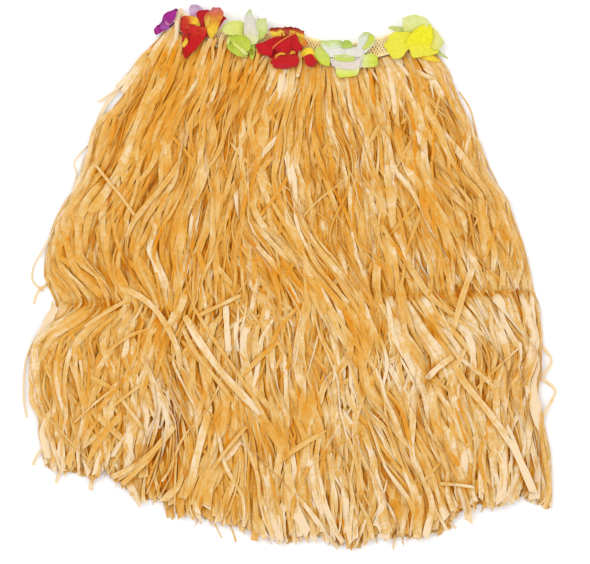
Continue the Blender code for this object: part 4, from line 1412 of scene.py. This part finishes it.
# %% Scarlet flower with yellow edges
make_layer("flower_scarlet_outer", (
    (27, "scarlet", 0.3, 0.3, 0.4, (264, 45, 266, 55, 9.4), (276, 38, 276, 61, 9.8),
     (290, 36, 290, 61, 9.8), (303, 44, 301, 59, 9.8)),
    (28, "scarlet_edge", 1, 1.3, 1, (277, 42, 285, 40, 11), (272, 36.8, 284.6, 36, 14),
     (269.9, 32.6, 283.8, 31.6, 16), (269.9, 29.6, 283.4, 28.6, 17)),
    (29, "scarlet_edge", 1, 1.3, 1, (286, 41, 297, 42, 11), (289, 35.6, 302.4, 38.6, 14),
     (290, 31.8, 304.2, 35.6, 16), (292.4, 28.8, 303.4, 32.4, 16.8)),
    (30, "scarlet_warm", 1, 1.3, 0.8, (282.6, 40, 290.4, 39, 11.6), (281.8, 34, 291.4, 33.6, 15),
     (281.6, 28.6, 293.4, 28.6, 17.2)),
    (31, "scarlet", 1.6, 0.9, 0.4, (284.6, 36.4, 281, 40.4, 14.6), (272, 39, 274.6, 45.6, 14.4),
     (262.6, 42.8, 272.6, 51.4, 13.6), (256.2, 46, 271.4, 56.6, 12.6), (258, 51.8, 263, 56.2, 11.6)),
    (32, "sun_orange", 1, 0.4, 0.4, (298, 37.4, 298, 42.6, 14), (303.4, 38.4, 301.4, 46.2, 15),
     (307.6, 43.2, 306.6, 48, 14.6)),
    (33, "sun", 1, 0.5, 0.2, (300.4, 56.4, 303.6, 57.6, 10), (303, 50, 305.6, 55.6, 12),
     (308, 47.9, 309.6, 54.8, 13), (313.2, 50.4, 313.6, 57, 13), (316.8, 56.6, 317.2, 61.4, 12)),
    (34, "scarlet_lip", 1.6, 1.1, 0.6, (279.4, 54.2, 293.6, 53.6, 11.6), (273.8, 58, 298.4, 57.6, 12.8),
     (272, 62.4, 299, 62, 12.8), (273, 66.2, 297.2, 66.2, 11.8), (277.6, 68.8, 291, 69, 11)),
    (35, "scarlet_lip", 1.4, 0.8, 0.5, (306, 54.2, 303.4, 58, 12), (311.4, 54.6, 304.8, 61.6, 13.8),
     (315, 58.6, 306.4, 65.2, 13.8), (316.6, 62.4, 310.2, 67.4, 13), (315.8, 65.4, 312.8, 67.4, 12.2)),
    (36, "sun_orange", 0.3, 0.4, 0.1, (285.4, 54, 285.4, 55.2, 14.6), (280, 53.2, 280.6, 55.4, 15),
     (275.6, 55.4, 277, 57.6, 14.6), (272.8, 59.6, 274.2, 60.4, 13)),
    (37, "sun_orange", 0.3, 0.4, 0.2, (290, 53.6, 290.4, 54.8, 15), (292.4, 51, 292.8, 54.2, 15.4),
     (295.6, 51.8, 295.4, 54.4, 15)),
))
make_layer("flower_scarlet_inner", (
    (38, "scarlet", -1.8, 0.9, 0.6, (289.4, 36.6, 296.2, 34.6, 16.4), (281.4, 41, 297.4, 41, 18.6),
     (275.8, 45.6, 295, 46.4, 18.8), (274.4, 49.4, 292, 50.4, 17), (279, 53.2, 288.6, 54, 14.6)),
    (39, "scarlet", 1.4, 0.9, 0.4, (293, 36, 296.6, 36.6, 16.8), (292, 42, 299.2, 43, 18.8),
     (291.6, 46.6, 302.4, 48, 18.6), (294.4, 51.8, 300.8, 51.8, 16.4)),
    # Painted highlight along the rim of the central fold.
    (40, "scarlet_glow", 0.1, 0.5, 0.1, (271.8, 49.2, 273, 50.2, 17.2), (275.4, 44.6, 276.8, 46, 19),
     (283.2, 39.4, 284, 40.8, 19.6), (290.4, 35.4, 290.9, 36.7, 19), (295.4, 33.4, 295.8, 34.4, 17.8)),
))

# %% White and green flower
make_layer("flower_white_outer", (
    (41, "white", 0.3, 0.3, 0.4, (323, 48, 329, 60, 10), (336, 43, 337, 70, 11.4), (350, 46, 350, 71, 11.4),
     (364, 50, 361, 64, 10.8)),
    (42, "lime_left", 1.4, 0.5, 0.4, (316.8, 47.4, 322.4, 45.6, 11), (314.4, 52, 327, 52, 12.6),
     (316.4, 58.4, 330, 58.6, 13), (320.4, 63.6, 330, 64.4, 12.4), (324, 65.8, 328.8, 66.8, 11.6)),
    (43, "white_green", 0.8, 0.6, 0.3, (330, 57.6, 346, 57.6, 12), (326, 52, 345, 51.6, 13.2),
     (321.4, 46.4, 343, 46, 13.6), (319.4, 41.4, 342, 41.2, 14)),
    (44, "white_green", 1.6, 0.5, 0.8, (350, 55, 364, 55.6, 12), (357.2, 46.4, 369.6, 49.4, 14.2),
     (358.6, 39, 375, 42, 15), (361.4, 34.2, 374, 37, 15.2), (364, 33.2, 371, 34.2, 15)),
    (45, "white_lime", 1.4, 0.6, 0.3, (330.6, 57, 361.4, 57, 12.6), (332, 63, 360.4, 64.4, 12.8),
     (335, 69, 359.8, 70, 12.8), (335.6, 75, 357.6, 74.8, 12.2), (338.4, 78.6, 351, 76.8, 11.4)),
    (46, "lime_right", 1.4, 0.6, 0.8, (357.6, 58.6, 359.6, 67.2, 12.2), (365, 55.4, 364.8, 68.2, 13),
     (371.6, 54, 371.2, 68, 13), (377.2, 56.4, 377, 66.2, 12.4)),
))
make_layer("flower_white_inner", (
    (47, "white", 0.4, 0.4, 0.3, (326, 51, 328, 58, 13.4), (338, 48.6, 338, 57, 13.7),
     (350, 47.2, 351, 57.4, 13.7), (363, 48.6, 365, 57.4, 13.5)),
    (48, "lime_left", 0.5, 0.3, 0.3, (365.4, 50.6, 361.6, 49, 14.2), (371.4, 46, 366, 43, 15.6),
     (375.2, 40.4, 368.4, 39, 16.2), (373.6, 36, 368.6, 35.6, 16)),
    (49, "leaf_green", 1.2, 0.4, 0.6, (341.6, 49.2, 350.4, 48.6, 15), (341.8, 45, 352.8, 46, 15.9),
     (344, 41.2, 349.4, 41.4, 16.1)),
    # Painted shade: a lime strip where the inside of the cup is in shade.
    (50, "leaf_soft", 0.2, 0.3, 0.2, (331.6, 56.2, 333, 58.8, 13.8), (339, 55.2, 339, 61.8, 14),
     (347, 55.4, 347, 62.4, 14), (355, 57.2, 354, 61.6, 13.8)),
    (51, "blush", 0.2, 0.4, 0.2, (328.6, 58, 332, 66.4, 13), (341, 61, 342, 69, 13.4),
     (353, 61.4, 354, 70, 13.4), (361.8, 58, 361, 68, 13.2)),
))

# %% Yellow flower
make_layer("flower_yellow_outer", (
    (52, "yellow_pale", 1.2, 0.9, 0.8, (406, 37, 424, 37, 11), (403.6, 31, 427.4, 31, 13.4),
     (401.8, 25, 428.4, 24.8, 14.6), (403, 19.6, 425.8, 20, 15.2), (408, 16.4, 419, 16.8, 15.2)),
    (53, "leaf_pale", 0.4, 0.2, 0.1, (405, 27.6, 404, 33, 11.6), (397.4, 26.9, 396.4, 31.6, 12),
     (392, 26.4, 392, 30.2, 12), (388, 28, 388.6, 29.2, 11.4)),
    (54, "yellow_cream", 1, 0.9, 0.5, (425, 28, 427, 46, 12.6), (431, 27, 432, 49.4, 14),
     (436.6, 32, 437.2, 50, 14.6), (441, 37.6, 440.4, 49, 14.6), (442.9, 42, 442.6, 46, 14.2)),
    (55, "leaf_pale", 0.4, 0.2, 0.1, (437.8, 49.4, 435.4, 54.6, 9.6), (441, 53, 440, 55.8, 9.8),
     (444.6, 55.8, 444.2, 57.5, 9.4), (447.8, 58.2, 447.2, 59.2, 8.6)),
    (56, "sun", 0.6, 0.4, 0.2, (420.2, 57, 422, 60, 8.8), (426, 55, 426.6, 60.6, 10),
     (431, 54.6, 431, 61.4, 10), (436, 58.4, 435.2, 62.2, 9.2), (439.6, 61, 439, 62.2, 8.4)),
))
make_layer("flower_yellow_inner", (
    (57, "yellow", 0.3, 0.3, 0.4, (396, 36, 396, 54, 11.6), (409, 30, 408, 46.6, 12.2),
     (424, 28, 424, 54, 12.4), (437, 36, 436, 52, 12)),
    (58, "yellow", 1, 0.9, 0.6, (411, 33, 410, 48.6, 13.8), (402, 31.4, 405, 53.2, 14.2),
     (394.6, 32.4, 399.6, 58.2, 14), (388.6, 36.6, 391, 57.6, 13.4), (385.2, 43, 386, 51.6, 12.6)),
    (59, "yellow", 0.9, 0.9, 0.4, (407, 46.6, 437, 44, 13.8), (409, 52.4, 438.8, 50.6, 13.8),
     (412, 57, 435.4, 54.8, 12.8), (415, 58.2, 430, 55.6, 12.2)),
    (60, "yellow_bright", 0.8, 0.8, 0.5, (404, 47, 428, 48, 13.4), (407, 40, 432.8, 42, 14.2),
     (412, 32.6, 433, 34, 14.6), (418.6, 26.6, 431.8, 28, 14.9), (424, 24.2, 429.4, 24.8, 14.9)),
))

# %% [markdown]
# ## The finished skirt
#
# The band is the only woven piece: one strip, cut to length and joined into a loop. Everything
# else hangs on it.

# %% End
print("the skirt is dressed")
